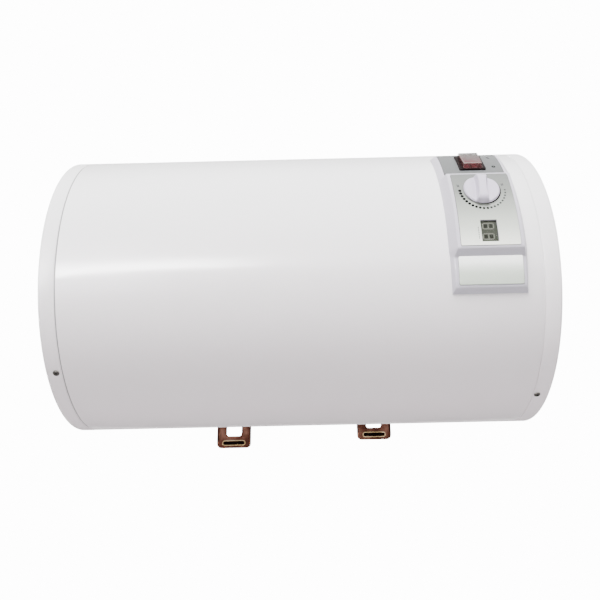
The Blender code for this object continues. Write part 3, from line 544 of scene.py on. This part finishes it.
def end_cap(side):
    out = -1 if side == "left" else 1
    skirt_in = SHELL_R - 0.0014
    face, valley = END_X - 0.0015, END_X - 0.0032
    # the lip at the seam is rolled in slightly; a ring-shaped valley is pressed into the face
    profile = [(face, 0), (face, 0.1450), (face - 0.003, 0.150), (face - 0.003, skirt_in - 0.0016)]
    lip = SEAM_X + (0.0007 if side == "left" else 0.0003)
    profile += [(face - 0.0045, skirt_in), (lip, skirt_in), (lip, SHELL_R - 0.0006)]
    profile += [(lip + 0.0002, SHELL_R - 0.0002), (lip + 0.0007, SHELL_R)]
    corner = 0.0036
    for i in range(9):
        angle = pi / 2 * (1 - i / 8)
        profile.append((END_X - corner + corner * cos(angle), SHELL_R - corner + corner * sin(angle)))
    pressed = [(END_X, 0.160), (END_X, 0.1555), (valley, 0.1515), (valley, 0.1500)]
    profile += rounded(pressed + [(END_X, 0.1460), (END_X, 0.140)], 0.0018)
    profile += [(END_X, 0.10), (END_X, 0.05), (END_X, 0)]
    made = lathe(f"{side}_cap_skin", [(out * z, r) for z, r in profile], "cap_paint", count=192,
        matrix=axis_matrix())
    if side == "right":
        cord_way = axis_matrix(0, 0.060, -0.085)
        boolean(made, lathe("gland_bore", [(0.26, 0.0081), (0.29, 0.0081)], count=32, matrix=cord_way))
    place(smooth(made), "heater", "white_paint", f"{side}_end_cap")
    # a grey bead in the left seam is a painted shadow for the seam's dark gap line; the right seam is filled
    # and painted over
    reach, sunk = (0.0006, 0.0006) if side == "left" else (0.0002, 0.0001)
    bead = [(SEAM_X - 0.0003, SHELL_R - 0.0019), (SEAM_X - 0.0003, SHELL_R - sunk - 0.0002)]
    bead += [(SEAM_X + 0.0001, SHELL_R - sunk), (SEAM_X + reach, SHELL_R - sunk - 0.0002)]
    bead += [(SEAM_X + reach, SHELL_R - 0.0013), (SEAM_X + 0.0001, SHELL_R - 0.0019)]
    look = "seam_grey" if side == "left" else "cap_paint"
    seam_ring = lathe(f"{side}_seam_bead", [(out * z, r) for z, r in bead], look, count=192, closed=True,
        matrix=axis_matrix())
    place(seam_ring, "heater", "rubber")


def cap_screws():
    for side, x, angles in CAP_SCREWS:
        for i, degrees in enumerate(angles, 1):
            matrix = drum_matrix(x, SHELL_R, radians(degrees))
            head = [(-0.0080, 0), (-0.0072, 0.0014), (0.0003, 0.0018), (0.0003, 0.0033), (0.0006, 0.0036)]
            head += [(0.0011, 0.0034), (0.0016, 0.0027), (0.0019, 0.0014), (0.0020, 0)]
            screw = lathe(f"{side}_cap_screw_{i}_look", head, "dark_steel", "screw_dark", count=32,
                matrix=matrix)
            # painted shade: the cross recess is painted near-black
            for turn in (0.35, 0.35 + pi / 2):
                bar = prism("cross", rounded_rect(0.0044, 0.0009, 0.0002, 2), (0.0010, 0.0030), "screw_dark")
                bar.data.transform(matrix @ Matrix.Rotation(turn, 4, "Z"))
                boolean(screw, bar)
            place(smooth(screw), "heater", "dark_steel", f"{side}_cap_screw_{i}")


# Control panel

OUTSIDE = (
    (-27.2, SHELL_R + 0.0009, 0.0393, 0.0398),
    (-24.8, LOW_R, 0.0368, 0.0398),
    (-14.3, LOW_R, 0.0370, 0.0406),
    (-12.0, HIGH_R, 0.0346, 0.0412),
    (18.6, HIGH_R, 0.0346, 0.0412),
    (19.9, LOW_R, 0.0357, 0.0412),
    (38.4, LOW_R, 0.0355, 0.0412),
    (39.5, SHELL_R + 0.0030, 0.0352, 0.0404),
)
INSIDE = (
    (-25.9, SHELL_R - 0.0005, 0.0333, 0.0366),
    (-24.3, LOW_R - 0.0024, 0.0333, 0.0370),
    (-12.9, LOW_R - 0.0024, 0.0333, 0.0382),
    (-11.3, HIGH_R - 0.0024, 0.0333, 0.0386),
    (17.9, HIGH_R - 0.0024, 0.0333, 0.0386),
    (19.0, LOW_R - 0.0024, 0.0333, 0.0386),
    (37.7, LOW_R - 0.0024, 0.0333, 0.0386),
)


def eased_stops(stops, radius, pitch):
    """Rounds the panel's side profile at each change of level, then adds rings at an even pitch."""
    path = [Vector((radians(a) * SHELL_R, r, t, b)) for a, r, t, b in stops]
    eased = [path[0]]
    for before, corner, after in zip(path, path[1:], path[2:]):
        into, out = before - corner, after - corner
        reach = min(radius, into.length * 0.4, out.length * 0.4)
        start, end = corner + into.normalized() * reach, corner + out.normalized() * reach
        for i in range(5):
            eased.append(curve(start, corner, end, i / 4))
    eased.append(path[-1])
    filled = []
    for first, last in zip(eased, eased[1:]):
        steps = max(1, round((last - first).length / pitch))
        filled += [first.lerp(last, i / steps) for i in range(steps)]
    filled.append(eased[-1])
    return [(s[0] / SHELL_R, s[1], s[2], s[3]) for s in filled]


def opening(outline, matrix, reach=0.01):
    """A cutter with a flat outline, standing on the given frame."""
    made = prism("opening", outline, (-reach, reach))
    made.data.transform(matrix)
    return made


def spindle_opening(radius):
    matrix = drum_matrix(KNOB_X, HIGH_R, KNOB_ANGLE)
    return lathe("opening", [(-0.01, radius), (0.01, radius)], count=48, matrix=matrix)


def display_opening(clearance):
    wide, high = (size + clearance for size in DISPLAY_SIZE)
    return opening(rounded_rect(wide, high, 0.0007, 3), drum_matrix(DISPLAY_X, HIGH_R, DISPLAY_ANGLE))


def switch_opening(clearance):
    wide, high = (size + clearance for size in SWITCH_SIZE)
    return opening(rounded_rect(wide, high, 0.0005, 2), drum_matrix(SWITCH_X, LOW_R, SWITCH_ANGLE))


def housing_rings(stops, base, edge):
    rings = []
    for angle, top, half_top, half_base in stops:
        half = rounded([(half_base, base), (half_top, top), (0, top)], edge, 5)
        section = half[:-1] + [(half_top * k, top) for k in (0.6, 0.2)]
        section += [(-dx, r) for dx, r in reversed(section)]
        rings.append([on_drum(PANEL_X + dx, r, angle) for dx, r in section])
    return rings


def housing():
    made = skin("panel_cover", housing_rings(eased_stops(OUTSIDE, 0.0015, 0.0022), SHELL_R + GAP, 0.0009),
        "white_plastic")
    hollow = skin("hollow", housing_rings(eased_stops(INSIDE, 0.0005, 0.005), SHELL_R - 0.001, 0.0005))
    boolean(made, hollow)
    for sx in (-1, 1):
        for degrees in (-18.5, 34.0):
            matrix = drum_matrix(PANEL_X + sx * 0.0282, 0, radians(degrees))
            boss = lathe("boss", [(SHELL_R + 0.0006, 0.0035), (LOW_R - 0.0010, 0.0035)], count=24,
                matrix=matrix)
            boolean(made, boss, "UNION")
            boolean(made, lathe("pilot", [(0.165, 0.0015), (0.1745, 0.0015)], count=16, matrix=matrix))
    for cutter in (spindle_opening(0.0045), display_opening(0.0006), switch_opening(0.0)):
        boolean(made, cutter)
    return place(smooth(made, 25), "heater", "white_plastic", "panel_housing")


def film(name, x_span, angle_span, radius, look, thickness=FILM, steps=40):
    """A thin sheet that follows the drum, with softly rounded corners and a tiny eased rim."""
    corner = 0.0008
    low, high = (radians(a) for a in angle_span)
    width, height = x_span[1] - x_span[0], (high - low) * radius
    rows = []
    for i in range(steps + 1):
        y = height * (i / steps - 0.5)
        clear = height / 2 - abs(y)
        pull = corner - sqrt(max(0.0, corner**2 - (corner - clear) ** 2)) if clear < corner else 0.0
        rows.append((y, width / 2 - pull))
    edge = 0.0001
    rings = []
    for y, half in rows:
        section = [(-half, 0.0), (-half, thickness - edge), (-half + edge, thickness)]
        section += [(-x, r) for x, r in reversed(section)]
        middle_x, middle_a = sum(x_span) / 2, (low + high) / 2
        rings.append([on_drum(middle_x + dx, radius + dr, middle_a + y / radius) for dx, dr in section])
    return skin(name, rings, look)


def film_gap(name, x_span, angle_span, radius):
    """A dark sheet round a film: a painted shadow for the thin dark line where it lies in its shallow recess.
    """
    margin = 0.0004
    spread = margin / radius * 180 / pi
    wide = (x_span[0] - margin, x_span[1] + margin)
    high = (angle_span[0] - spread, angle_span[1] + spread)
    return film(name, wide, high, radius + GAP * 0.5, "gap_shadow", thickness=GAP * 0.7, steps=36)


def films():
    """The three films, and the painted shadow line round each."""
    line = film_gap("dial_sheet_gap", *FASCIA, HIGH_R)
    boolean(line, spindle_opening(0.0052))
    boolean(line, display_opening(0.0008))
    place(smooth(line), "heater", "black_plastic")
    line = boolean(film_gap("switch_sheet_gap", *STRIP, LOW_R), switch_opening(0.0014))
    place(smooth(line), "heater", "black_plastic")
    place(smooth(film_gap("plate_sheet_gap", *NAME_PLATE, LOW_R)), "heater", "black_plastic")

    fascia = film("dial_sheet", *FASCIA, HIGH_R + GAP, "dial_film", steps=56)
    boolean(fascia, spindle_opening(0.0050))
    boolean(fascia, display_opening(0.0006))
    place(smooth(fascia), "heater", "silver_film", "dial_fascia")
    strip = film("switch_sheet", *STRIP, LOW_R + GAP, "strip_film", steps=36)
    boolean(strip, switch_opening(0.0012))
    place(smooth(strip), "heater", "silver_film", "switch_strip")
    plate = film("plate_sheet", *NAME_PLATE, LOW_R + GAP, "plate_film", steps=24)
    place(smooth(plate), "heater", "silver_film", "name_plate")


def on_film(points, x, angle, radius, lift):
    """Lays flat (u, v) points on a film, lifted a little off its face."""
    return [on_drum(x + u, radius + lift, angle + v / radius) for u, v in points]


def plates(name, layers, look):
    """Thin plates in one mesh, each between a lower and an upper outline."""
    points, faces = [], []
    for lower, upper in layers:
        start, count = len(points), len(lower)
        points += lower + upper
        faces.append(list(range(start, start + count))[::-1])
        faces.append(list(range(start + count, start + 2 * count)))
        for i in range(count):
            j = (i + 1) % count
            faces.append([start + i, start + j, start + count + j, start + count + i])
    return mesh_object(name, points, faces, look)


def printed(name, outlines, x, angle, radius, look):
    """Raised ink: each outline becomes a thin plate that follows the drum; the knob's painted shadow ring is
    laid the same way.
    """
    layers = [[on_film(outline, x, angle, radius, lift) for lift in INK] for outline in outlines]
    return place(plates(name, layers, look), "heater", "black_plastic")


def disc(u, v, radius, count=14):
    return [(u + x, v + y) for x, y, _ in circle(radius, 0, count)]


def bar(u, v, width, height, turn=0.0):
    corners = ((-1, -1), (1, -1), (1, 1), (-1, 1))
    points = [(sx * width / 2, sy * height / 2) for sx, sy in corners]
    return [(u + px * cos(turn) - py * sin(turn), v + px * sin(turn) + py * cos(turn)) for px, py in points]


def dial_marks():
    top = HIGH_R + GAP + FILM
    # a half ring of dots below the knob, each smaller than the last
    count, reach = 20, 0.0242
    largest, smallest = 0.00182, 0.00100
    big, small = [], []
    for i in range(count):
        share = i / (count - 1)
        angle = pi + pi * share
        size = largest - (largest - smallest) * share
        target = big if share < 0.57 else small
        target.append(disc(reach * cos(angle), reach * sin(angle), size))
    printed("dial_dots", big, RING_X, KNOB_ANGLE, top, "print_dark")
    printed("dial_dots_fine", small, RING_X, KNOB_ANGLE, top, "print_grey")
    ends = []
    for angle, out, length in ((radians(164), 0.0254, 0.0036), (radians(19), 0.0232, 0.0030)):
        for further in (0.0, 0.0015):
            ends.append(bar((out + further) * cos(angle), (out + further) * sin(angle), 0.0008, length, 0.12))
    printed("dial_end_marks", ends, RING_X, KNOB_ANGLE, top, "print_grey")
    # a dark ring under the knob, a little to its right: a painted shadow where the knob's edge shades the film
    shadow_ring = []
    inner, outer, aside, above = 0.0160, 0.0190, 0.0020, 0.0006
    for i in range(72):
        a, b = 2 * pi * i / 72, 2 * pi * (i + 1) / 72
        corners = ((outer, a), (outer, b), (inner, b), (inner, a))
        shadow_ring.append([(aside + r * cos(turn), above + r * sin(turn)) for r, turn in corners])
    printed("knob_painted_shadow", shadow_ring, KNOB_X, KNOB_ANGLE, top, "washer_dark")
    side = [bar(-0.0115, -0.0085 + 0.0020 * i, 0.0008, 0.0012) for i in range(7)]
    printed("display_side_marks", side, DISPLAY_X, DISPLAY_ANGLE, top, "print_grey")
    strip_top = LOW_R + GAP + FILM
    # a bar for on, a ring for off
    printed("switch_on_mark", [bar(0, 0, 0.0015, 0.0050, 0.5)], 0.2228, radians(33.9), strip_top,
        "print_dark")
    outer, inner = disc(0, 0, 0.0022, 24), disc(0, 0, 0.0008, 24)
    halves = []
    for first in (0, 12):
        arc = [(first + i) % 24 for i in range(13)]
        halves.append([outer[i] for i in arc] + [inner[i] for i in reversed(arc)])
    printed("switch_off_mark", halves, 0.2238, radians(26.1), strip_top, "print_dark")


# Mains switch


def switch():
    matrix = drum_matrix(SWITCH_X, LOW_R, SWITCH_ANGLE)
    body = prism("switch_surround", rounded_rect(0.0299, 0.0346, 0.0014, 4), (-0.0020, 0.0019),
        "black_plastic", inset=0.0004)
    body.data.transform(matrix)
    boolean(body, lathe("under", [(0.17, 0.1770), (0.23, 0.1770)], count=256, matrix=axis_matrix()))
    core = prism("core", rounded_rect(0.0220, 0.0280, 0.0004, 2), (-0.0223, 0.0013), matrix=matrix)
    boolean(body, core, "UNION")
    boolean(body, prism("well", rounded_rect(0.0200, 0.0262, 0.0006, 2), (-0.0070, 0.0130), matrix=matrix))
    for y in (-0.008, 0.0, 0.008):
        tab = prism("tab", bar(0, y, 0.0063, 0.0008), (-0.0307, -0.0217), matrix=matrix)
        boolean(body, tab, "UNION")
    place(smooth(body, 25), "heater", "black_plastic", "switch_frame")

    side = [(0.0125, -0.0010), (0.0127, 0.0005), (0.0124, 0.0028), (0.0116, 0.0052)]
    top = rounded([(0.0116, 0.0052), (0.0, 0.0036), (-0.0116, 0.0052)], 0.004, 6)
    outline = side[:-1] + rounded([side[-2], *top, (-side[-2][0], side[-2][1])], 0.0006, 4)[1:-1]
    outline += [(-y, z) for y, z in reversed(side[:-1])]
    pivot = drum_matrix(SWITCH_X, LOW_R + ROCKER_PIVOT, SWITCH_ANGLE) @ Matrix.Rotation(ROCKER_TILT, 4, "X")
    rings = []
    ends = ((-0.0095, 0.0005), (-0.0093, 0.0001), (-0.0088, 0.0))
    # the key is red with two dark belts: the first between these, the second beyond the last
    belt = (-0.0026, 0.0008, 0.0070)
    belts = [(x, 0.0) for x in belt]
    for x, pull in (*ends, *belts, *((-x, pull) for x, pull in reversed(ends))):
        rings.append([(x, y * (1 - pull / 0.0127), z - (pull if z > 0.002 else 0)) for y, z in outline])
    rocker = skin("rocker_key", rings, "red_lens", "rocker_dark")
    for polygon in rocker.data.polygons:
        if belt[0] < polygon.center.x < belt[1] or polygon.center.x > belt[2]:
            polygon.material_index = 1
    rocker.data.transform(pivot)
    place(smooth(rocker, 40), "rocker", "red_lens", "rocker")

    def cover(inset, floor):
        """The boot's outside, or its hollow: walls that lean in to a crown, flared to the left at the top."""
        base_half, base_low, base_high = 0.0109 - inset, -0.0168 + inset, 0.0153 - inset
        crown_half, crown_low, crown_high = 0.0101 - inset, -0.0131 + inset, 0.0109 - inset
        top = 0.0078 - inset
        rings = []
        for share in (0.0, 0.15, 0.18, 0.6, 0.86, 0.94, 1.0):
            z = floor + (top - floor) * share
            lean = max(0.0, (share - 0.16) / 0.84)
            soft = 0.0007 * max(0.0, (share - 0.86) / 0.14) ** 2 if inset == 0 else 0.0
            half = base_half + (crown_half - base_half) * lean - soft
            low = base_low + (crown_low - base_low) * lean + soft
            high = base_high + (crown_high - base_high) * lean - soft
            flare = 0.0010 + 0.0010 * lean
            section = []
            for x, y in rounded_rect(2 * half, high - low, 0.0010, 4):
                along = y / (high - low) + 0.5
                rise = 0.0012 * along * lean
                section.append((x - flare * along * (0.5 - x / (2 * half)), y + (low + high) / 2, z + rise))
            rings.append(section)
        return rings

    boot = skin("switch_cover", cover(0.0, 0.0022), "clear_boot")
    boolean(boot, skin("boot_hollow", cover(0.0009, 0.0010)))
    paint(boot, "clear_boot", "boot_painted_highlight", "boot_crown", "boot_painted_shade")
    for polygon in boot.data.polygons:
        centre, normal = polygon.center, polygon.normal
        # painted highlight: the fold round the crown and the lower corners get a lighter, more opaque copy of
        # the boot
        fold_painted_light = centre.z > 0.0070 and normal.z < 0.98
        # painted shade: the boot's side walls get a darker, more opaque copy of the boot
        side = centre.z > 0.0026 and abs(normal.x) > 0.85
        corner = centre.z > 0.0028 and 0.6 < abs(normal.x) < 0.85
        corner = corner and normal.y < -0.12 and abs(centre.x) > 0.0092
        crown = centre.z > 0.0077 and normal.z > 0.98
        polygon.material_index = 2 if crown else 1 if fold_painted_light or corner else 3 if side else 0
    boot.data.transform(matrix)
    place(smooth(boot, 32), "heater", "clear_boot", "rocker_boot")


# Knob and display


def smooth_step(low, high, value):
    t = min(max((value - low) / (high - low), 0.0), 1.0)
    return t * t * (3 - 2 * t)


def knob_height(u, v):
    """The knob's face: a disc scooped towards a grip bar that is waisted in the middle."""
    reach = hypot(u, v)
    face = 0.0016 + 0.0023 * smooth_step(0.0030, 0.0165, abs(u))
    rounding = 0.0014 * smooth_step(0.0174, KNOB_R, reach) ** 2
    top = 0.0038 * (abs(v) / KNOB_R) ** 2
    half, foot = 0.0034 + 0.50 * top, 0.0064 + 0.45 * top
    crown = 0.0097 - 0.0004 * (abs(v) / KNOB_R) ** 2
    if abs(v) > KNOB_SHOULDER:
        share = min(1.0, (abs(v) - KNOB_SHOULDER) / (KNOB_R - KNOB_SHOULDER))
        crown = 0.0026 + (crown - 0.0026) * sqrt(1 - share**2)
    blend = smooth_step(foot, half, abs(u))
    return face + (max(crown, face) - face) * blend - rounding


def knob():
    turn = Matrix.Rotation(KNOB_REST, 4, "Z")
    count = 192
    rings = [circle(0.0180, 0.0005, count), circle(0.0187, 0.0005, count), circle(KNOB_R, 0.0010, count)]
    edge = [KNOB_R] + [KNOB_R - 0.00012 * i for i in range(1, 9)]
    for radius in edge + [0.0179 - 0.0004 * i for i in range(44)]:
        rings.append([(u, v, knob_height(u, v)) for u, v, _ in circle(radius, 0, count)])
    rings.append([(0, 0, knob_height(0, 0))])
    made = skin("knob_cap", rings, "knob_plastic", matrix=turn)
    boolean(made, lathe("bore", [(-0.002, 0.0032), (0.0090, 0.0032)], count=32))
    made.data.transform(drum_matrix(KNOB_X, HIGH_R + GAP + FILM, KNOB_ANGLE))
    place(smooth(made, 50), "knob", "white_plastic", "thermostat_knob")


def display():
    matrix = drum_matrix(DISPLAY_X, HIGH_R, DISPLAY_ANGLE)
    lens = prism("display_glass", rounded_rect(*DISPLAY_SIZE, 0.0005, 3), (-0.0016, 0.0), "smoked_lens",
        matrix=matrix, inset=0.0002)
    place(smooth(lens, 25), "heater", "smoked_lens", "display_lens")
    board = rounded_rect(0.0260, 0.0340, 0.0008, 3)
    board = prism("display_board", board, (-0.0108, -0.0092), "circuit_board", matrix=matrix)
    block = rounded_rect(*DISPLAY_SIZE, 0.0003, 2)
    boolean(board, prism("block", block, (-0.0098, -0.0036), matrix=matrix), "UNION")
    place(smooth(board, 25), "heater", "circuit_board", "display_module")
    face = rounded_rect(0.0168, 0.0238, 0.0003, 2)
    face = prism("display_window_face", face, (-0.0036, -0.0019), "display_face", matrix=matrix)
    place(smooth(face, 25), "heater", "smoked_lens")

    # two digits lying on their sides, one above the other
    segments, cores = [], []
    cell, wide, pitch = 0.0056, 0.0011, 0.0056
    for shift, v in ((-0.0004, 0.0058), (-0.0010, -0.0060)):
        cores += [(shift + u, v) for u in (-pitch / 2, pitch / 2)]
        long = 2 * pitch - 0.0008
        segments += [(shift, v + side * (cell / 2 + 0.0003), long, wide) for side in (1, -1)]
        segments += [(shift + u, v, wide, cell - 0.0003) for u in (-pitch, 0, pitch)]
    hearts = [(u, v, 0.0037, 0.0042) for u, v in cores]
    levels = (-0.0020, -0.00175)
    for look, boxes in (("segment", segments), ("digit_core", hearts)):
        layers = []
        for u, v, w, h in boxes:
            outline = rounded_rect(w, h, min(w, h) * 0.35, 2)
            layers.append([[matrix @ Vector((x + u, y + v, z)) for x, y in outline] for z in levels])
        place(plates("display_" + look, layers, look), "heater", "smoked_lens")


# Wall brackets


def strap_stations():
    half, radius, flange = BRACKET_WIDTH / 2, 0.0062, 0.0058
    rows = []
    for i in range(7):
        turn = pi / 2 * i / 6
        z = FOOT_END - radius + radius * cos(turn)
        rows.append((z, 0.0, half - radius + radius * sin(turn), 0.0030 + 0.0010 * sin(turn)))
    rows.append((FOOT_END - 0.0076, 0.0, half, 0.0048))
    rows.append((FOOT_END - 0.0095, 0.0, half, flange))
    path = rounded([(FOOT_END - 0.0095, 0.0), (0.1060, 0.0), (0.0960, BRACKET_SET), (0.0, BRACKET_SET)],
        0.004, 5)
    rows += [(z, y, half, flange) for z, y in path[1:-1]]
    return [(-z, *rest) for z, *rest in rows] + rows[::-1]


def wall_matrix(x, z):
    """A frame on the wall's plane: local Z away from the wall, local Y up."""
    return Matrix.Translation((x, 0, z)) @ Matrix.Rotation(pi / 2, 4, "X")


def bracket(side, x, lift):
    rings = []
    for z, y, half, flange in strap_stations():
        inner = half - 0.0020
        section = [(-half, 0.0), (half, 0.0), (half, flange), (inner, flange)]
        section += [(inner, PLATE), (-inner, PLATE), (-inner, flange), (-half, flange)]
        loop = section + section[:2]
        eased = []
        for before, corner, after in zip(loop, loop[1:], loop[2:]):
            before, corner, after = Vector(before), Vector(corner), Vector(after)
            reach = 0.0009
            start = corner + (before - corner).normalized() * min(reach, (before - corner).length * 0.4)
            end = corner + (after - corner).normalized() * min(reach, (after - corner).length * 0.4)
            for t in (0.0, 0.33, 0.67, 1.0):
                eased.append(curve(start, corner, end, t))
        rings.append([(x + dx, y - depth, z + lift) for dx, depth in eased])
    made = skin(f"{side}_strap", rings, "plated_steel", "pocket_black")
    for end in (-1, 1):
        turn = wall_matrix(x, end * WINDOW_Z + lift)
        boolean(made, prism("window", rounded_rect(*WINDOW, 8), (-0.02, 0.02), matrix=turn))
        turn = wall_matrix(x, end * SLOT_Z + lift)
        boolean(made, prism("lip", rounded_rect(*LIP, 8), (0.0010, 0.0029), matrix=turn), "UNION")
        boolean(made, prism("slot", rounded_rect(*SLOT, 8), (0.0008, 0.02), matrix=turn))
        boolean(made, opening(rounded_rect(*BOLT_HOLE, 6), wall_matrix(x, end * BOLT_Z + lift), 0.03))
    paint(made, "plated_steel", "pocket_black", "plated_painted_shade")
    for polygon in made.data.polygons:
        centre = polygon.center
        across, along = abs(centre.x - x), abs(centre.z - lift)
        # painted shade: the slot's inner walls are painted near-black for the shade seen through the slot
        inside = abs(along - SLOT_Z) < 0.0024 and across < 0.0151 and -0.0031 < centre.y < -0.0007
        facing = abs(polygon.normal.y) > 0.9 and centre.y < -0.002
        flange = across > BRACKET_WIDTH / 2 - 0.0034
        window_side = 0.0100 < across < 0.0112 and abs(polygon.normal.x) > 0.5
        # painted shade: the flanges and the window's side walls get the darker copy of the plating
        fold_painted_light = along < SLOT_Z - 0.003 and (flange or window_side)
        polygon.material_index = 1 if inside and not facing else 2 if fold_painted_light else 0
    place(smooth(made, 32), "heater", "plated_steel", f"{side}_wall_bracket")
    for end, level in ((-1, "lower"), (1, "upper")):
        # a rolled bead runs round the slot, in the lighter copy of the plating as a painted highlight
        tube, height = 0.0006, 0.0031
        length = RIM[0] / 2 - RIM[2]
        rings = []
        for px, py in rounded_rect(*RIM, 10):
            core_x = max(-length, min(length, px))
            out = Vector((px - core_x, py, 0)).normalized()
            ring_points = []
            for i in range(10):
                turn = 2 * pi * i / 10
                offset = out * (tube * cos(turn))
                ring_points.append((px + offset.x, py + offset.y, height + tube * sin(turn)))
            rings.append(ring_points)
        rim = skin(f"{side}_{level}_slot_rim", rings, "gold_rim", closed=True)
        rim.data.transform(wall_matrix(x, end * SLOT_Z + lift))
        place(smooth(rim, 60), "heater", "plated_steel")


# Pipes and collars


def pipes():
    for (name, x, low), collar in zip(PIPES, ("cold_collar", "hot_collar")):
        top, bore, outer = 0.196, 0.0075, 0.0104
        profile = [(low, bore), (low, 0.0088), (0.1400, 0.0088), (0.1420, outer), (0.1770, outer)]
        z, groove, pitch = 0.1785, outer - 0.0009, 0.0018
        while z < top - 0.0022:
            profile += [(z, outer), (z + 0.0004, groove), (z + 0.0009, groove), (z + 0.0013, outer)]
            z += pitch
        profile += [(top - 0.0008, outer - 0.0006), (top, outer - 0.0014), (top, bore + 0.0004),
            (top - 0.0004, bore)]
        look = lathe(f"{name}_look", profile, "bare_steel", count=64, closed=True,
            matrix=drum_matrix(x, 0, pi / 2))
        place(look, "heater", "bare_steel", name)
        low_r, high_r = SHELL_R + 0.0004, SHELL_R + 0.0040
        band = [(low_r, outer + GAP), (low_r, 0.0188), (low_r + 0.0004, 0.0194), (low_r + 0.0012, 0.0193)]
        band += [(low_r + 0.0022, 0.0176), (high_r - 0.0004, 0.0144), (high_r, 0.0136), (high_r, outer + GAP)]
        slot_name = "blue_plastic" if collar == "cold_collar" else "red_plastic"
        ring_look = lathe(f"{collar}_look", band, slot_name, count=64, closed=True,
            matrix=drum_matrix(x, 0, pi / 2))
        place(ring_look, "heater", slot_name, collar)


# Light, floor and camera


def area_light(name, where, aim, size, power):
    data = bpy.data.lights.new(name, "AREA")
    data.shape = "RECTANGLE"
    data.size, data.size_y = size
    data.energy = power
    lamp = add_object(name, data)
    lamp.location = where
    lamp.rotation_euler = (Vector(aim) - Vector(where)).to_track_quat("-Z", "Y").to_euler()
    return lamp


def world_math(world, operation, first, second):
    node = add_node(world, "ShaderNodeMath", operation=operation)
    link(world, first, node.inputs[0])
    link(world, second, node.inputs[1])
    return node.outputs["Value"]


HORIZON = -0.084  # the room's bright walls end just below eye level
ROOM_LOW, ROOM_HIGH = 1.3, 9.5
REAR_SHARE = 0.16
PATCH = 150.0
AMBIENT = 0.6
BACKDROP = 14.0
KEY_POWER = 235.0


def studio():
    """A white room: soft light from the front, a dim floor, and a bright patch low on the left to reflect."""
    world = bpy.data.worlds.new("studio")
    bpy.context.scene.world = world
    world.use_nodes = True
    direction = add_node(world, "ShaderNodeTexCoord")
    split = add_node(world, "ShaderNodeSeparateXYZ")
    link(world, direction.outputs["Generated"], split.inputs["Vector"])
    rise, across = split.outputs["Z"], split.outputs["X"]

    def fade(value, low, high, out_low, out_high):
        return to_range(world, value, low, high, out_low, out_high, "SMOOTHSTEP")

    room = fade(rise, HORIZON - 0.02, HORIZON + 0.03, ROOM_LOW, ROOM_HIGH)
    patch = fade(rise, HORIZON - 0.015, HORIZON + 0.03, 0.0, PATCH)
    patch = world_math(world, "MULTIPLY", patch, fade(rise, HORIZON + 0.03, HORIZON + 0.20, 1.0, 0.0))
    patch = world_math(world, "MULTIPLY", patch, fade(across, -0.20, -0.02, 1.0, 0.0))
    front = fade(split.outputs["Y"], -0.35, 0.45, 1.0, REAR_SHARE)
    ahead = fade(split.outputs["Y"], -0.55, -0.25, 1.0, 0.0)
    room = world_math(world, "MULTIPLY", room, front)
    seen = world_math(world, "ADD", room, world_math(world, "MULTIPLY", patch, ahead))
    shades = []
    for strength in (AMBIENT, seen, BACKDROP):
        shade = add_node(world, "ShaderNodeBackground", Color=(1.0, 1.0, 1.0, 1.0))
        if isinstance(strength, float):
            shade.inputs["Strength"].default_value = strength
        else:
            link(world, strength, shade.inputs["Strength"])
        shades.append(shade.outputs["Background"])
    path = add_node(world, "ShaderNodeLightPath")
    mixed = shades[0]
    for ray, shade in (("Is Glossy Ray", shades[1]), ("Is Camera Ray", shades[2])):
        mix = add_node(world, "ShaderNodeMixShader")
        link(world, path.outputs[ray], mix.inputs["Fac"])
        link(world, mixed, mix.inputs[1])
        link(world, shade, mix.inputs[2])
        mixed = mix.outputs["Shader"]
    link(world, mixed, world.node_tree.nodes["World Output"].inputs["Surface"])
    key = area_light("key", (-0.25, -2.35, 1.5), (0.0, -0.3, 0.0), (1.6, 1.0), KEY_POWER)
    key.visible_glossy = False

    mesh = bpy.data.meshes.new("floor")
    reach, level = 4.0, -0.95
    corners = [(sx * reach, sy * reach, level) for sx, sy in ((-1, -1), (1, -1), (1, 1), (-1, 1))]
    mesh.from_pydata(corners, [], [[0, 1, 2, 3]])
    mesh.materials.append(new_material("pale_floor", (0.60, 0.60, 0.60), 0.7))
    add_object("floor", mesh)


def camera():
    """The camera looks up at the heater from in front of it and below."""
    yaw, pitch, roll, rise = 0.0062, 0.0292, 0.0223, radians(25)
    turn = Matrix.Rotation(yaw, 3, "Z") @ Matrix.Rotation(pitch, 3, "X") @ Matrix.Rotation(roll, 3, "Y")
    turn = Matrix.Rotation(rise, 3, "X") @ turn
    right, forward, up = turn.col[0], turn.col[1], turn.col[2]
    data = bpy.data.cameras.new("camera")
    made = add_object("camera", data)
    aside, distance = 0.0055, 0.8761
    eye = Matrix.Rotation(rise, 3, "X") @ Vector((aside, -distance, 0.0))
    eye.y += AXIS_Y
    basis = Matrix((right, up, -forward)).transposed().to_4x4()
    made.matrix_world = Matrix.Translation(eye) @ basis
    data.lens = 40.40
    data.sensor_width = 36.0
    data.shift_y = -0.0467
    bpy.context.scene.camera = made


shell()
for cap_side in ("left", "right"):
    end_cap(cap_side)
cap_screws()
housing()
films()
dial_marks()
switch()
knob()
display()
for bracket_side, bracket_x, bracket_lift in BRACKETS:
    bracket(bracket_side, bracket_x, bracket_lift)
pipes()
studio()
camera()
